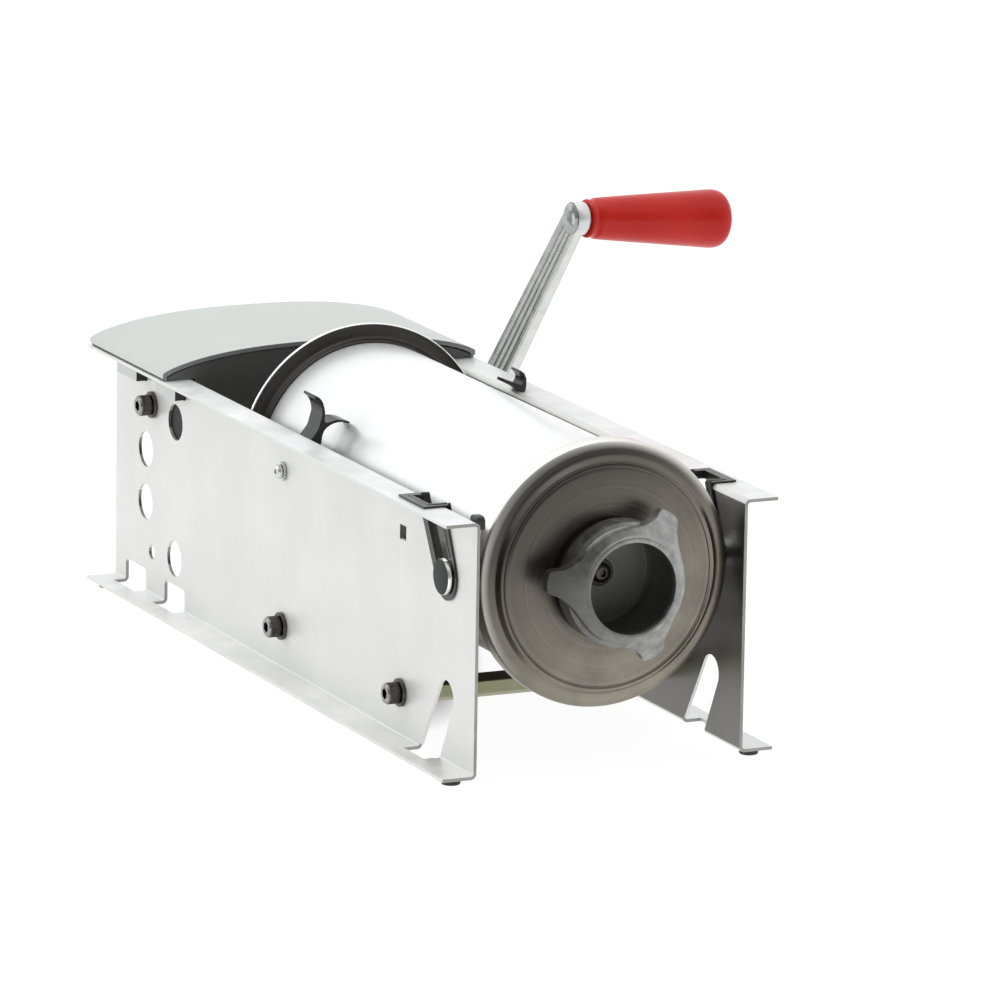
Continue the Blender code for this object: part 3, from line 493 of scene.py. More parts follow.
def plastic(name, dark, light, rough, grain_scale=1400.0, depth=1.5e-5, blotch=25.0, coat=0.0,
            specular=0.5):
    """Moulded or painted surface with slight tone and gloss variation."""
    mat, tree, shader = finish_nodes(name)
    blot = add_noise(tree, blotch, detail=5.0)
    fine = add_noise(tree, grain_scale, detail=3.0)
    set_tone(tree, shader, blot, dark, light, rough)
    set_inputs(shader, Specular_IOR_Level=specular, Coat_Weight=coat, Coat_Roughness=0.08)
    add_bump(tree, shader, fine, depth)
    return mat


def turned_steel():
    """Spun cap: dull warm steel with the concentric marks of turning, a painted light gradient across its
    face and a painted highlight on the upper-left rim.
    """
    mat, tree, shader = finish_nodes("look_spun_steel")
    blot = add_noise(tree, 22.0, detail=6.0, rough=0.6)
    rings = rings_about_axis(tree, 0.0016)
    wide = rings_about_axis(tree, 0.0110)
    tone = tree.nodes.new("ShaderNodeMath")
    tone.operation = "MULTIPLY_ADD"
    tone.inputs[1].default_value = 0.5
    tree.links.new(wide, tone.inputs[0])
    tree.links.new(remap(tree, blot, 0.0, 0.5), tone.inputs[2])
    # painted light: the face turns darker towards the upper left and lighter towards the lower right
    painted_light_sweep = across(tree, (0.6, 0.0, -0.8), (0.0, 0.0, CYL_AXIS_Z), 0.0, 1.0, 0.055)
    face = mix_color(tree, multiply(tree, tone.outputs["Value"], painted_light_sweep), (0.115, 0.106, 0.094),
                     (0.42, 0.385, 0.318))
    # painted highlight: a pale band on the upper-left part of the outer rim
    rim = multiply(tree, remap(tree, distance_from_axis(tree), 0.0, 1.0, 0.0745, 0.0785),
                   across(tree, (-0.5, 0.0, 1.0), (0.0, 0.0, CYL_AXIS_Z + 0.02), 0.0, 1.0, 0.05))
    tree.links.new(mix_color(tree, rim, face, (0.86, 0.84, 0.79)), shader.inputs["Base Color"])
    tree.links.new(remap(tree, rings, 0.30, 0.42), shader.inputs["Roughness"])
    set_inputs(shader, Metallic=1.0, Anisotropic=0.35)
    tangent = tree.nodes.new("ShaderNodeTangent")
    tangent.direction_type = "RADIAL"
    tangent.axis = "Y"
    tree.links.new(tangent.outputs["Tangent"], shader.inputs["Tangent"])
    add_bump(tree, shader, rings, 1.6e-5)
    return mat


def darken(mat, factor, dark):
    """Blend a look's colour with a dark one where a factor is low."""
    tree = mat.node_tree
    base = tree.nodes["Principled BSDF"].inputs["Base Color"]
    tree.links.new(mix_color(tree, factor, dark, base.links[0].from_socket), base)
    return mat


def tube_steel():
    """Bright tube, with painted shade darkening it along its underside."""
    mat = metal("look_tube_steel", (0.970, 0.974, 0.970), (0.980, 0.982, 0.978), (0.28, 0.34),
                MOSTLY_ALONG_Y, 700.0, 0.4e-5, 30.0, metallic=0.5)
    # painted shade: below the axis the colour blends towards a dark one
    low = across(mat.node_tree, (0.0, 0.0, 1.0), (0.0, 0.0, CYL_AXIS_Z - 0.036), 0.0, 1.0, 0.016)
    return darken(mat, low, (0.115, 0.105, 0.095))


def cast_metal():
    """Sand-cast nut: grainy skin, with painted light brightening one side and painted shade darkening the
    other.
    """
    mat = metal("look_cast_aluminium", (0.24, 0.24, 0.228), (0.46, 0.46, 0.445), (0.36, 0.50),
                grain_scale=520.0, depth=7e-5, blotch=160.0)
    # painted light and shade: the colour darkens towards -X and stays bright towards +X
    lit = across(mat.node_tree, (1.0, 0.0, 0.15), (0.0, 0.0, CYL_AXIS_Z), 0.0, 1.5, 0.045)
    return darken(mat, lit, (0.105, 0.105, 0.100))


LOOKS = {}                    # look by the name that the pieces ask for


def build_looks():
    def new(kind, name, *numbers, **more):
        LOOKS[name] = kind("look_" + name, *numbers, **more)

    new(metal, "panel_steel", (0.71, 0.715, 0.69), (0.79, 0.795, 0.77), (0.34, 0.46), ALONG_Y, 1500.0,
        1.2e-5, 14.0, metallic=0.4)
    # a lighter copy of the panel steel: painted light for the up-facing faces of the flanges
    new(metal, "panel_flange_painted_light", (0.74, 0.745, 0.735), (0.96, 0.96, 0.965), (0.28, 0.44), PARTLY_ALONG_Y,
        1500.0, 1.2e-5, 26.0, metallic=0.25)
    new(metal, "bore_steel", (0.19, 0.19, 0.18), (0.27, 0.27, 0.255), (0.30, 0.42), depth=0.8e-5)
    new(metal, "panel_edge", (0.26, 0.26, 0.245), (0.42, 0.42, 0.40), (0.36, 0.5), depth=1.5e-5,
        blotch=60.0)
    # a darker copy of the panel steel: painted shade for the webs' inner faces
    new(metal, "panel_inside_painted_shade", (0.13, 0.126, 0.118), (0.20, 0.195, 0.182), (0.26, 0.38), ALONG_Y, 1500.0,
        1.2e-5, 14.0)
    new(metal, "polished_steel", (0.92, 0.925, 0.92), (0.97, 0.97, 0.965), (0.20, 0.30), MOSTLY_ALONG_Y,
        700.0, 0.4e-5, 30.0)
    LOOKS["tube_steel"] = tube_steel()
    new(metal, "ring_dark", (0.060, 0.056, 0.053), (0.092, 0.087, 0.082), (0.36, 0.50), depth=0.6e-5)
    LOOKS["spun_steel"] = turned_steel()
    LOOKS["cast_aluminium"] = cast_metal()
    new(metal, "crank_alloy", (0.27, 0.285, 0.28), (0.47, 0.49, 0.48), (0.24, 0.38), grain_scale=600.0,
        depth=5e-5, blotch=120.0)
    new(metal, "crank_side", (0.70, 0.715, 0.70), (0.86, 0.87, 0.86), (0.26, 0.42), grain_scale=600.0,
        depth=5e-5, blotch=120.0, metallic=0.45)
    new(metal, "crank_groove", (0.075, 0.080, 0.078), (0.19, 0.20, 0.196), (0.26, 0.42),
        grain_scale=600.0, depth=5e-5, blotch=120.0)
    new(metal, "zinc_steel", (0.55, 0.58, 0.56), (0.76, 0.78, 0.76), (0.22, 0.34), grain_scale=1200.0,
        depth=2e-5, blotch=220.0)
    new(metal, "olive_zinc", (0.22, 0.225, 0.13), (0.33, 0.335, 0.22), (0.30, 0.44), (0.1, 1.0, 1.0),
        900.0, 2e-5, 60.0)
    new(metal, "dark_steel", (0.060, 0.053, 0.048), (0.135, 0.122, 0.112), (0.22, 0.38),
        grain_scale=1500.0, depth=2e-5, blotch=300.0)
    # a lighter steel: painted highlight for the end faces of the screw heads
    new(metal, "steel_painted_highlight", (0.22, 0.21, 0.20), (0.42, 0.41, 0.40), (0.20, 0.34), grain_scale=1500.0,
        depth=2e-5, blotch=400.0)
    new(metal, "gear_steel", (0.34, 0.34, 0.33), (0.48, 0.48, 0.47), (0.28, 0.42))
    new(metal, "brass_bush", (0.56, 0.42, 0.18), (0.70, 0.54, 0.26), (0.26, 0.40))
    new(plastic, "red_gloss", (0.56, 0.013, 0.008), (0.63, 0.020, 0.012), (0.26, 0.36), 900.0, 0.6e-5,
        35.0, coat=0.06, specular=0.25)
    new(plastic, "cover_grey", (0.56, 0.595, 0.57), (0.61, 0.645, 0.62), (0.36, 0.46), 2200.0, 2e-5, 12.0)
    # a darker copy of the cover grey: painted shade for the cover's front faces
    new(plastic, "cover_front_painted_shade", (0.26, 0.265, 0.262), (0.31, 0.315, 0.312), (0.40, 0.50), 2200.0, 2e-5,
        12.0)
    new(plastic, "case_dark", (0.110, 0.110, 0.108), (0.140, 0.140, 0.137), (0.40, 0.52), 1500.0, 3e-5,
        20.0)
    new(plastic, "black_plastic", (0.010, 0.010, 0.010), (0.022, 0.022, 0.021), (0.20, 0.34), 1400.0,
        1.5e-5, 80.0)
    new(plastic, "foot_rubber", (0.016, 0.016, 0.017), (0.032, 0.032, 0.033), (0.62, 0.80), 900.0, 6e-5,
        60.0)
    new(plastic, "piston_plastic", (0.25, 0.255, 0.232), (0.31, 0.316, 0.290), (0.34, 0.5), 700.0, 3e-5,
        40.0)
    new(plastic, "seal_rubber", (0.66, 0.66, 0.63), (0.74, 0.74, 0.71), (0.5, 0.66))


# ======================== panels
def refinish(obj, look, chosen):
    """Give the faces that a test picks, by centre and normal, another look."""
    obj.data.materials.append(LOOKS[look])
    index = len(obj.data.materials) - 1
    for face in obj.data.polygons:
        if chosen(face.center, face.normal):
            face.material_index = index


def channel_outline(side):
    """Section of a side panel: a web with both flanges bent outwards."""
    r, t, h = BEND_OUTER, PANEL_SHEET, PANEL_HEIGHT
    cx = WEB_IN + r
    points = [(FLANGE_OUT, 0.0)]
    points += arc(cx, r, r, 270, 180, 12)
    points += arc(cx, h - r, r, 180, 90, 12)
    points += [(FLANGE_OUT, h), (FLANGE_OUT, h - t)]
    points += arc(cx, h - r, r - t, 90, 180, 8)
    points += arc(cx, r, r - t, 180, 270, 8)
    points += [(FLANGE_OUT, t)]
    return [(side * x, z) for x, z in points]


def slot_edge(level):
    """Edge of a trunnion slot, open at a height: down, round the bottom, up."""
    y0, z0 = TRUNNION
    front = (SLOT_MOUTH_FRONT, PANEL_HEIGHT)
    rear = (SLOT_MOUTH_REAR, PANEL_HEIGHT)
    down_front = math.degrees(math.atan2(z0 - front[1], y0 - SLOT_R - front[0]))
    down_rear = math.degrees(math.atan2(z0 - rear[1], y0 + SLOT_R - rear[0]))
    start = down_front - 90.0 + 360.0
    end = down_rear + 90.0 + 360.0
    curve = arc(y0, z0, SLOT_R, start, end, 36)

    def reach(low, high):
        k = (level - low[1]) / (high[1] - low[1])
        return (low[0] + k * (high[0] - low[0]), level)

    return [reach(curve[0], front)] + curve + [reach(curve[-1], rear)]


def side_panel(side):
    """Punched sheet with rounded bends, broken edges and clean round holes."""
    panel = prism(handed("side_panel", side), channel_outline(side), 0.0, PANEL_LENGTH, "Y",
                  "panel_steel")
    lo, hi = span(side, WEB_IN - 0.004, WEB_OUT + 0.004)
    tools = []
    for y, z in SHAFT_HOLES:
        tools.append(rod(SHAFT_HOLE_R, lo, hi, (y, z)))
    for y, z in (FRONT_BOLT, MIDDLE_BOLT, REAR_BOLT, SPARE_HOLE):
        tools.append(rod(BOLT_HOLE_R, lo, hi, (y, z), seg=40))
    tools.append(rod(CATCH_HOLE_R, lo, hi, CATCH_HOLE, seg=32))
    y, z = SQUARE_HOLE
    s = SQUARE_HOLE_SIDE / 2
    square = [(y - s, z - s), (y + s, z - s), (y + s, z + s), (y - s, z + s)]
    tools.append(prism("tool", square, lo, hi, "X"))
    a, b = span(side, WEB_IN - 0.001, SLOT_FLANGE_OUT)
    for top in (True, False):
        outline = slot_edge(PANEL_HEIGHT + 0.003)
        deep = [(SLOT_MOUTH_FRONT, 0.1489), (SLOT_MOUTH_REAR, 0.1489), (SLOT_MOUTH_REAR, 0.1570),
                (SLOT_MOUTH_FRONT, 0.1570)]
        if not top:
            outline = [(v, PANEL_HEIGHT - w) for v, w in outline]
            deep = [(v, PANEL_HEIGHT - w) for v, w in deep]
        tools.append(prism("tool", outline, lo, hi, "X"))
        tools.append(prism("tool", deep, a, b, "X"))
    lo, hi = span(side, WEB_IN - 0.004, LEG_CUT_OUT)
    for y0, y1 in LEG_CUTS:
        for top in (True, False):
            d = LEG_CUT_DEPTH
            outline = [(y0, -0.005)]
            outline += arc(y0 + 0.003, d - 0.003, 0.003, 180, 90, 8)
            outline += arc(y1 - 0.003, d - 0.003, 0.003, 90, 0, 8)
            outline += [(y1, -0.005)]
            if top:
                outline = [(v, PANEL_HEIGHT - w) for v, w in outline]
            tools.append(prism("tool", outline, lo, hi, "X"))
    cut(panel, *tools)
    wall = frame((side * WEB_IN, 0.0, 0.0))[0]

    def on_inner_face(at, way):
        return abs(at.x - wall) < 0.0001 and way.x * side < -0.9

    # painted shade: the webs' inner faces take the darker copy of the panel steel
    refinish(panel, "panel_inside_painted_shade", on_inner_face)
    # painted light: up-facing flange faces take the lighter copy of the panel steel
    refinish(panel, "panel_flange_painted_light", lambda at, way: way.z > 0.6 and abs(at.x - wall) > 0.0030)
    refinish(panel, "panel_edge", lambda at, way: way.y < -0.9)
    return round_edges(panel, 0.00028, 2, 40.0)


def band(path, out, inner):
    """Strip that follows an open path between two sideways offsets."""
    return offset_path(path, out) + offset_path(path, inner)[::-1]


def slot_trim(side):
    """Black moulded edging that lines a trunnion slot and its mouth."""
    step = 0.0002
    seat = GAP + 0.0011
    wall = band(slot_edge(PANEL_HEIGHT + 0.0012), GAP, TRIM_WALL + GAP)
    lip = band(slot_edge(PANEL_HEIGHT + 0.0007), -TRIM_LIP, seat)
    lip_low = band(slot_edge(PANEL_HEIGHT - 0.0065), -TRIM_LIP, seat)

    a, b = span(side, WEB_IN - GAP - TRIM_LIP_T, WEB_OUT + GAP + TRIM_LIP_T)
    trim = prism(handed("slot_trim", side), wall, a, b, "X", "black_plastic")
    a, b = span(side, WEB_IN - GAP - TRIM_LIP_T + step, WEB_IN - GAP)
    inner = prism("tool", lip, a, b, "X")
    a, b = span(side, WEB_OUT + GAP, WEB_OUT + GAP + TRIM_LIP_T - step)
    outer = prism("tool", lip_low, a, b, "X")
    y0, y1, x1 = SLOT_MOUTH_FRONT, SLOT_MOUTH_REAR, SLOT_FLANGE_OUT
    z0, z1 = PANEL_HEIGHT - PANEL_SHEET, PANEL_HEIGHT

    def mouth(x_start, out, t):
        outer_pts = [(x_start, y0 - out), (x1 + out, y0 - out), (x1 + out, y1 + out), (x_start, y1 + out)]
        inner_pts = [(x_start, y1 - t), (x1 - t, y1 - t), (x1 - t, y0 + t), (x_start, y0 + t)]
        return [(side * u, v) for u, v in outer_pts + inner_pts]

    low, high = z0 - GAP - TRIM_LIP_T, z1 + GAP + TRIM_LIP_T
    wall_f = prism("tool", mouth(WEB_IN - 0.0009, -GAP, TRIM_WALL + GAP), low, high, "Z")
    lip_up = prism("tool", mouth(WEB_IN - 0.0011, TRIM_LIP, seat), z1 + GAP, high - step, "Z")
    lip_dn = prism("tool", mouth(WEB_OUT + 0.0028, TRIM_LIP, seat), low + step, z0 - GAP, "Z")
    return round_edges(fuse(trim, inner, outer, wall_f, lip_up, lip_dn), 0.00035, 2, 40.0)


def hexagon(cy, cz, across_flats):
    r = across_flats / 2 / math.cos(math.pi / 6)
    return [(cy + r * math.cos(math.radians(30 + 60 * i)),
             cz + r * math.sin(math.radians(30 + 60 * i))) for i in range(6)]


def tie_bar(name, at):
    reach = WEB_IN - GAP
    bar = prism(name, hexagon(at[0], at[1], 0.013), -reach, reach, "X", "olive_zinc")
    cut(bar, rod(0.0043, reach - 0.018, reach + 0.002, at, seg=32),
        rod(0.0043, -reach - 0.002, -reach + 0.018, at, seg=32))
    return round_edges(bar, 0.0005, 3)


def knurled(at, lo, hi, radius, ridges=36):
    """Side of a screw head with fine vertical ridges."""
    outline = []
    for i in range(ridges * 4):
        t = 2 * math.pi * i / (ridges * 4)
        r = radius - (0.00022 if i % 4 in (2, 3) else 0.0)
        outline.append((at[0] + r * math.cos(t), at[1] + r * math.sin(t)))
    return prism("tool", outline, lo, hi, "X")


def bolt(tag, side, at):
    """M8 socket-head cap screw with its washer, head outboard of the web."""
    suffix = handed(tag, side)
    x0 = WEB_OUT + GAP
    x1 = x0 + 0.0020
    profile = [(0.0044, x0), (0.0083, x0), (0.0085, x0 + 0.0003), (0.0085, x1 - 0.0004), (0.0081, x1),
               (0.0047, x1), (0.0044, x1 - 0.0003)]
    smooth(lathe("washer_" + suffix, to_side(profile, side), "X", at, "dark_steel"))
    tip, seat, top = WEB_IN - 0.014, x1 + GAP, x1 + GAP + 0.008
    profile = [(0, tip), (0.0036, tip), (0.0040, tip + 0.0006), (0.0040, seat), (0.0061, seat),
               (0.0061, top - 0.0011), (0.0059, top - 0.0006), (0.0055, top - 0.0001), (0.0050, top),
               (0, top)]
    screw = lathe("screw_" + suffix, to_side(profile, side), "X", at, "dark_steel")
    lo, hi = span(side, seat + 0.0003, top - 0.0013)
    fuse(screw, knurled(at, lo, hi, 0.0065))
    lo, hi = span(side, top - 0.0045, top + 0.002)
    cut(screw, prism("tool", hexagon(at[0], at[1], 0.006), lo, hi, "X"))
    end = frame((side * (top - 0.0014), 0.0, 0.0))[0]
    # painted highlight: the end face of the head takes a lighter steel
    refinish(screw, "steel_painted_highlight", lambda at, way: (at.x - end) * side > 0 and way.x * side > 0.3)
    return round_edges(screw, 0.00018, 2, 30.0)


def foot(name, x, y):
    profile = [(0, -FOOT_HEIGHT), (0.0048, -FOOT_HEIGHT), (0.0053, -FOOT_HEIGHT + 0.0002),
               (0.0056, -FOOT_HEIGHT + 0.0006), (0.0059, -0.0018), (0.0062, -0.0008), (0.0060, -GAP),
               (0, -GAP)]
    return smooth(lathe(name, profile, "Z", (x, y), "foot_rubber", 48))


# ======================== cylinder
def cylinder():
    tube = [(TUBE_R_IN, TUBE_FRONT), (TUBE_R_OUT, TUBE_FRONT), (TUBE_R_OUT, TUBE_REAR - 0.0003),
            (TUBE_R_OUT - 0.0003, TUBE_REAR), (TUBE_R_IN + 0.0003, TUBE_REAR),
            (TUBE_R_IN, TUBE_REAR - 0.0003)]
    coaxial("cylinder_tube", tube, "tube_steel")
    r0 = TUBE_R_OUT + GAP
    rear = TUBE_REAR
    fillet = spline([(r0, rear - 0.0080), (r0 + 0.0010, rear - 0.0076), (r0 + 0.0022, rear - 0.0048),
                     (r0 + 0.0040, rear - 0.0034), (RING_R - 0.0026, rear - 0.0028)], 5)
    edge = [(RING_R - 0.0026, rear - 0.0028), (RING_R - 0.0012, rear - 0.0030),
            (RING_R - 0.0004, rear - 0.0026), (RING_R, rear - 0.0016), (RING_R - 0.0004, rear - 0.0004),
            (RING_R - 0.0012, rear)]
    ring = coaxial("cylinder_ring", fillet + spline(edge, 4)[1:] + [(r0, rear)], "ring_dark", 50.0)
    mid_x, _, mid_z = frame((0.0, 0.0, CYL_AXIS_Z))

    def on_rim(at, way):
        return math.hypot(at.x - mid_x, at.z - mid_z) > RING_R - 0.0007

    refinish(ring, "polished_steel", on_rim)
    r1 = SPIGOT_R_OUT + GAP
    face = spline([(r1, 0.0030), (0.0400, 0.0033), (0.0520, 0.0039), (0.0625, 0.0046), (0.0646, 0.0049)],
                  4)
    groove = spline([(0.0646, 0.0049), (0.0654, 0.0054), (0.0660, 0.0060), (0.0667, 0.0057),
                     (0.0674, 0.0054), (0.0684, 0.0058), (0.0698, 0.0076), (0.0710, 0.0091),
                     (0.0722, 0.0097), (0.0745, 0.0102), (0.0762, 0.0107), (0.0778, 0.0114),
                     (0.0790, 0.0122), (CAP_R, 0.0138)], 5)
    back = [(CAP_R, CAP_REAR - 0.0004), (CAP_R - 0.0004, CAP_REAR), (CAP_R - 0.0014, CAP_REAR),
            (CAP_R - 0.0018, CAP_REAR - 0.0004), (CAP_R - 0.0018, 0.0150), (0.0695, 0.0134),
            (0.0645, 0.0068), (r1, 0.0048)]
    coaxial("cylinder_cap", face + groove[1:] + back, "spun_steel", 40.0)
    f = SPIGOT_FRONT
    spigot = [(SPIGOT_R_IN, 0.0060), (SPIGOT_R_IN, f + 0.0004), (SPIGOT_R_IN + 0.0004, f),
              (SPIGOT_R_OUT - 0.0004, f), (SPIGOT_R_OUT, f + 0.0004), (SPIGOT_R_OUT, f + 0.0015),
              (SPIGOT_THREAD_R, f + 0.0028)]
    pitch = 0.0030
    for k in range(5):
        at = f + 0.0036 + k * pitch
        spigot += [(SPIGOT_THREAD_R, at), (SPIGOT_R_OUT + 0.0002, at + 0.0010),
                   (SPIGOT_R_OUT + 0.0002, at + 0.0016), (SPIGOT_THREAD_R, at + 0.0026)]
    spigot += [(SPIGOT_THREAD_R, -0.0020), (SPIGOT_R_OUT, -0.0007), (SPIGOT_R_OUT, 0.0060)]
    coaxial("outlet_spigot", spigot, "bore_steel")
    for side in (-1, 1):
        foot_x, head = 0.0714, WEB_OUT + GAP + TRIM_LIP_T + 0.0004
        profile = [(0, foot_x), (0.0122, foot_x), (0.0125, foot_x + 0.0003), (0.0125, foot_x + 0.0027),
                   (0.0121, foot_x + 0.0031), (TRUNNION_R, foot_x + 0.0045), (TRUNNION_R, head),
                   (TRUNNION_HEAD_R - 0.0003, head), (TRUNNION_HEAD_R, head + 0.0003),
                   (TRUNNION_HEAD_R, head + 0.0022), (TRUNNION_HEAD_R - 0.0003, head + 0.0027),
                   (TRUNNION_HEAD_R - 0.0009, head + 0.0030), (0, head + 0.0030)]
        pin = smooth(lathe(handed("trunnion", side), to_side(profile, side), "X", TRUNNION,
                           "polished_steel"))
        end = frame((side * (head + 0.0015), 0.0, 0.0))[0]
        refinish(pin, "foot_rubber", lambda at, way: (at.x - end) * side > 0 and way.x * side > 0.7)


def nut_outline():
    """Ring with three narrow wings that flare from it, seen along its axis."""
    corner = math.degrees(math.asin(NUT_TIP_HALF / NUT_TIP_R))
    wing = [(-corner - 0.6, NUT_TIP_R - 0.0022), (-corner + 1.2, NUT_TIP_R - 0.0004),
            (-corner + 3.2, NUT_TIP_R), (0.0, NUT_TIP_R + 0.0003), (corner - 3.2, NUT_TIP_R),
            (corner - 1.2, NUT_TIP_R - 0.0004), (corner + 0.6, NUT_TIP_R - 0.0022), (11.0, 0.0430),
            (16.0, 0.0395), (23.0, 0.0368), (33.0, 0.0352), (45.0, NUT_VALLEY_R), (60.0, NUT_VALLEY_R),
            (75.0, NUT_VALLEY_R), (87.0, 0.0352), (97.0, 0.0368), (104.0, 0.0395), (109.0, 0.0430)]
    around = [(turn + 120.0 * k, r) for k in range(3) for turn, r in wing]
    curve = spline(around + [(around[0][0] + 360.0, around[0][1])], 4)[:-1]
    points = []
    for turn, r in curve:
        a = math.radians(NUT_LOBES_DEG[0] + turn)
        points.append((r * math.cos(a), CYL_AXIS_Z + r * math.sin(a)))
    return points


def ring_nut():
    """Cast nut: conical winged face, turned body and a threaded bore."""
    bore = SPIGOT_THREAD_R + RUNNING
    nut = prism("ring_nut", nut_outline(), NUT_FRONT - 0.001, NUT_BACK - 0.003, "Y", "cast_aluminium")
    far = 0.0540
    slope = (NUT_WING_FRONT - NUT_FRONT) / (NUT_TIP_R - NUT_RIM_R)
    lip = NUT_FRONT + 0.0012
    tip = lip + slope * (far - NUT_RIM_R)
    face = [(0, NUT_FRONT), (NUT_RIM_R - 0.0008, NUT_FRONT), (NUT_RIM_R - 0.0002, NUT_FRONT + 0.0003),
            (NUT_RIM_R + 0.0001, lip - 0.0003), (NUT_RIM_R + 0.0012, lip + 0.0006), (far, tip),
            (far, tip + NUT_WING_THICK), (NUT_BODY_R - 0.0012, NUT_WING_FRONT + 0.0012),
            (0, NUT_WING_FRONT + 0.0012)]
    combine(nut, [lathe("tool", face, "Y", AXIS, seg=BIG_SEG)], "INTERSECT")
    body = [(0, NUT_FRONT + 0.0050), (0.0338, NUT_FRONT + 0.0050), (0.0338, NUT_WING_FRONT - 0.0040),
            (0.0350, NUT_WING_FRONT - 0.0014), (NUT_BODY_R, NUT_WING_FRONT),
            (NUT_BODY_R, NUT_BACK - 0.0008), (NUT_BODY_R - 0.0008, NUT_BACK), (0, NUT_BACK)]
    fuse(nut, lathe("tool", body, "Y", AXIS, seg=BIG_SEG, turn=0.01))
    inner = [(0, NUT_FRONT - 0.002), (NUT_OPENING_R + 0.0010, NUT_FRONT - 0.002),
             (NUT_OPENING_R + 0.0010, NUT_FRONT), (NUT_OPENING_R + 0.0003, NUT_FRONT + 0.0004),
             (NUT_OPENING_R, NUT_FRONT + 0.0012), (NUT_OPENING_R, SPIGOT_FRONT - 0.0006),
             (bore, SPIGOT_FRONT - 0.0006), (bore, NUT_BACK + 0.002), (0, NUT_BACK + 0.002)]
    cut(nut, lathe("tool", inner, "Y", AXIS, seg=BIG_SEG))
    return round_edges(nut, 0.0007, 3, 38.0)


# ======================== piston
def piston():
    f, t = PISTON_FRONT, PISTON_THICK
    disc = [(0.0043, f), (0.0105, f), (0.0108, f - 0.0003 + 0.0006), (0.0300, f + 0.0003), (0.0304, f),
            (PISTON_R - 0.0015, f), (PISTON_R - 0.0004, f + 0.0004), (PISTON_R, f + 0.0015),
            (PISTON_R, f + 0.0085), (0.0648, f + 0.0085), (0.0648, f + 0.0155), (PISTON_R, f + 0.0155),
            (PISTON_R, f + t - 0.0015), (PISTON_R - 0.0015, f + t), (0.0043, f + t)]
    coaxial("piston_disc", disc, "piston_plastic")
    seal = [(0.0651, f + 0.0088), (0.0675, f + 0.0088), (SEAL_R - 0.0004, f + 0.0098),
            (SEAL_R, f + 0.0110), (SEAL_R, f + 0.0130), (SEAL_R - 0.0004, f + 0.0142),
            (0.0675, f + 0.0152), (0.0651, f + 0.0152)]
    coaxial("piston_seal", seal, "seal_rubber")
    lo, hi = f - GAP - 0.0015, f - GAP
    washer = [(0.0043, lo), (0.0079, lo), (0.0082, lo + 0.0003), (0.0082, hi - 0.0002), (0.0080, hi),
              (0.0043, hi)]
    smooth(lathe("piston_washer", washer, "Y", AXIS, "ring_dark", 48))
    head = f - 2 * GAP - 0.0015
    back = f + t
    screw = [(0, head - 0.0032), (0.0034, head - 0.0032), (0.0044, head - 0.0029),
             (0.0053, head - 0.0022), (0.0059, head - 0.0012), (0.0060, head - 0.0004), (0.0058, head),
             (0.0040, head), (0.0040, back), (0, back)]
    screw = lathe("piston_screw", screw, "Y", AXIS, "dark_steel", 48)
    cut(screw, prism("tool", hexagon(*AXIS, 0.0040), head - 0.004, head - 0.0008, "Y"))
    return round_edges(screw, 0.00012, 2)


# ======================== crank and grip
def lean(obj):
    """Tilt a piece of the grip's end about the boss, away from the arm."""
    hub, boss = np.array(CRANK_SHAFT), np.array(BOSS)
    along = (boss - hub) / np.linalg.norm(boss - hub)
    turn = Matrix.Rotation(GRIP_LEAN, 4, Vector((0.0, along[1], -along[0])))
    pivot = Vector(frame((BOSS_FACE_X, *BOSS)))
    obj.data.transform(Matrix.Translation(pivot) @ turn @ Matrix.Translation(-pivot))
    return obj


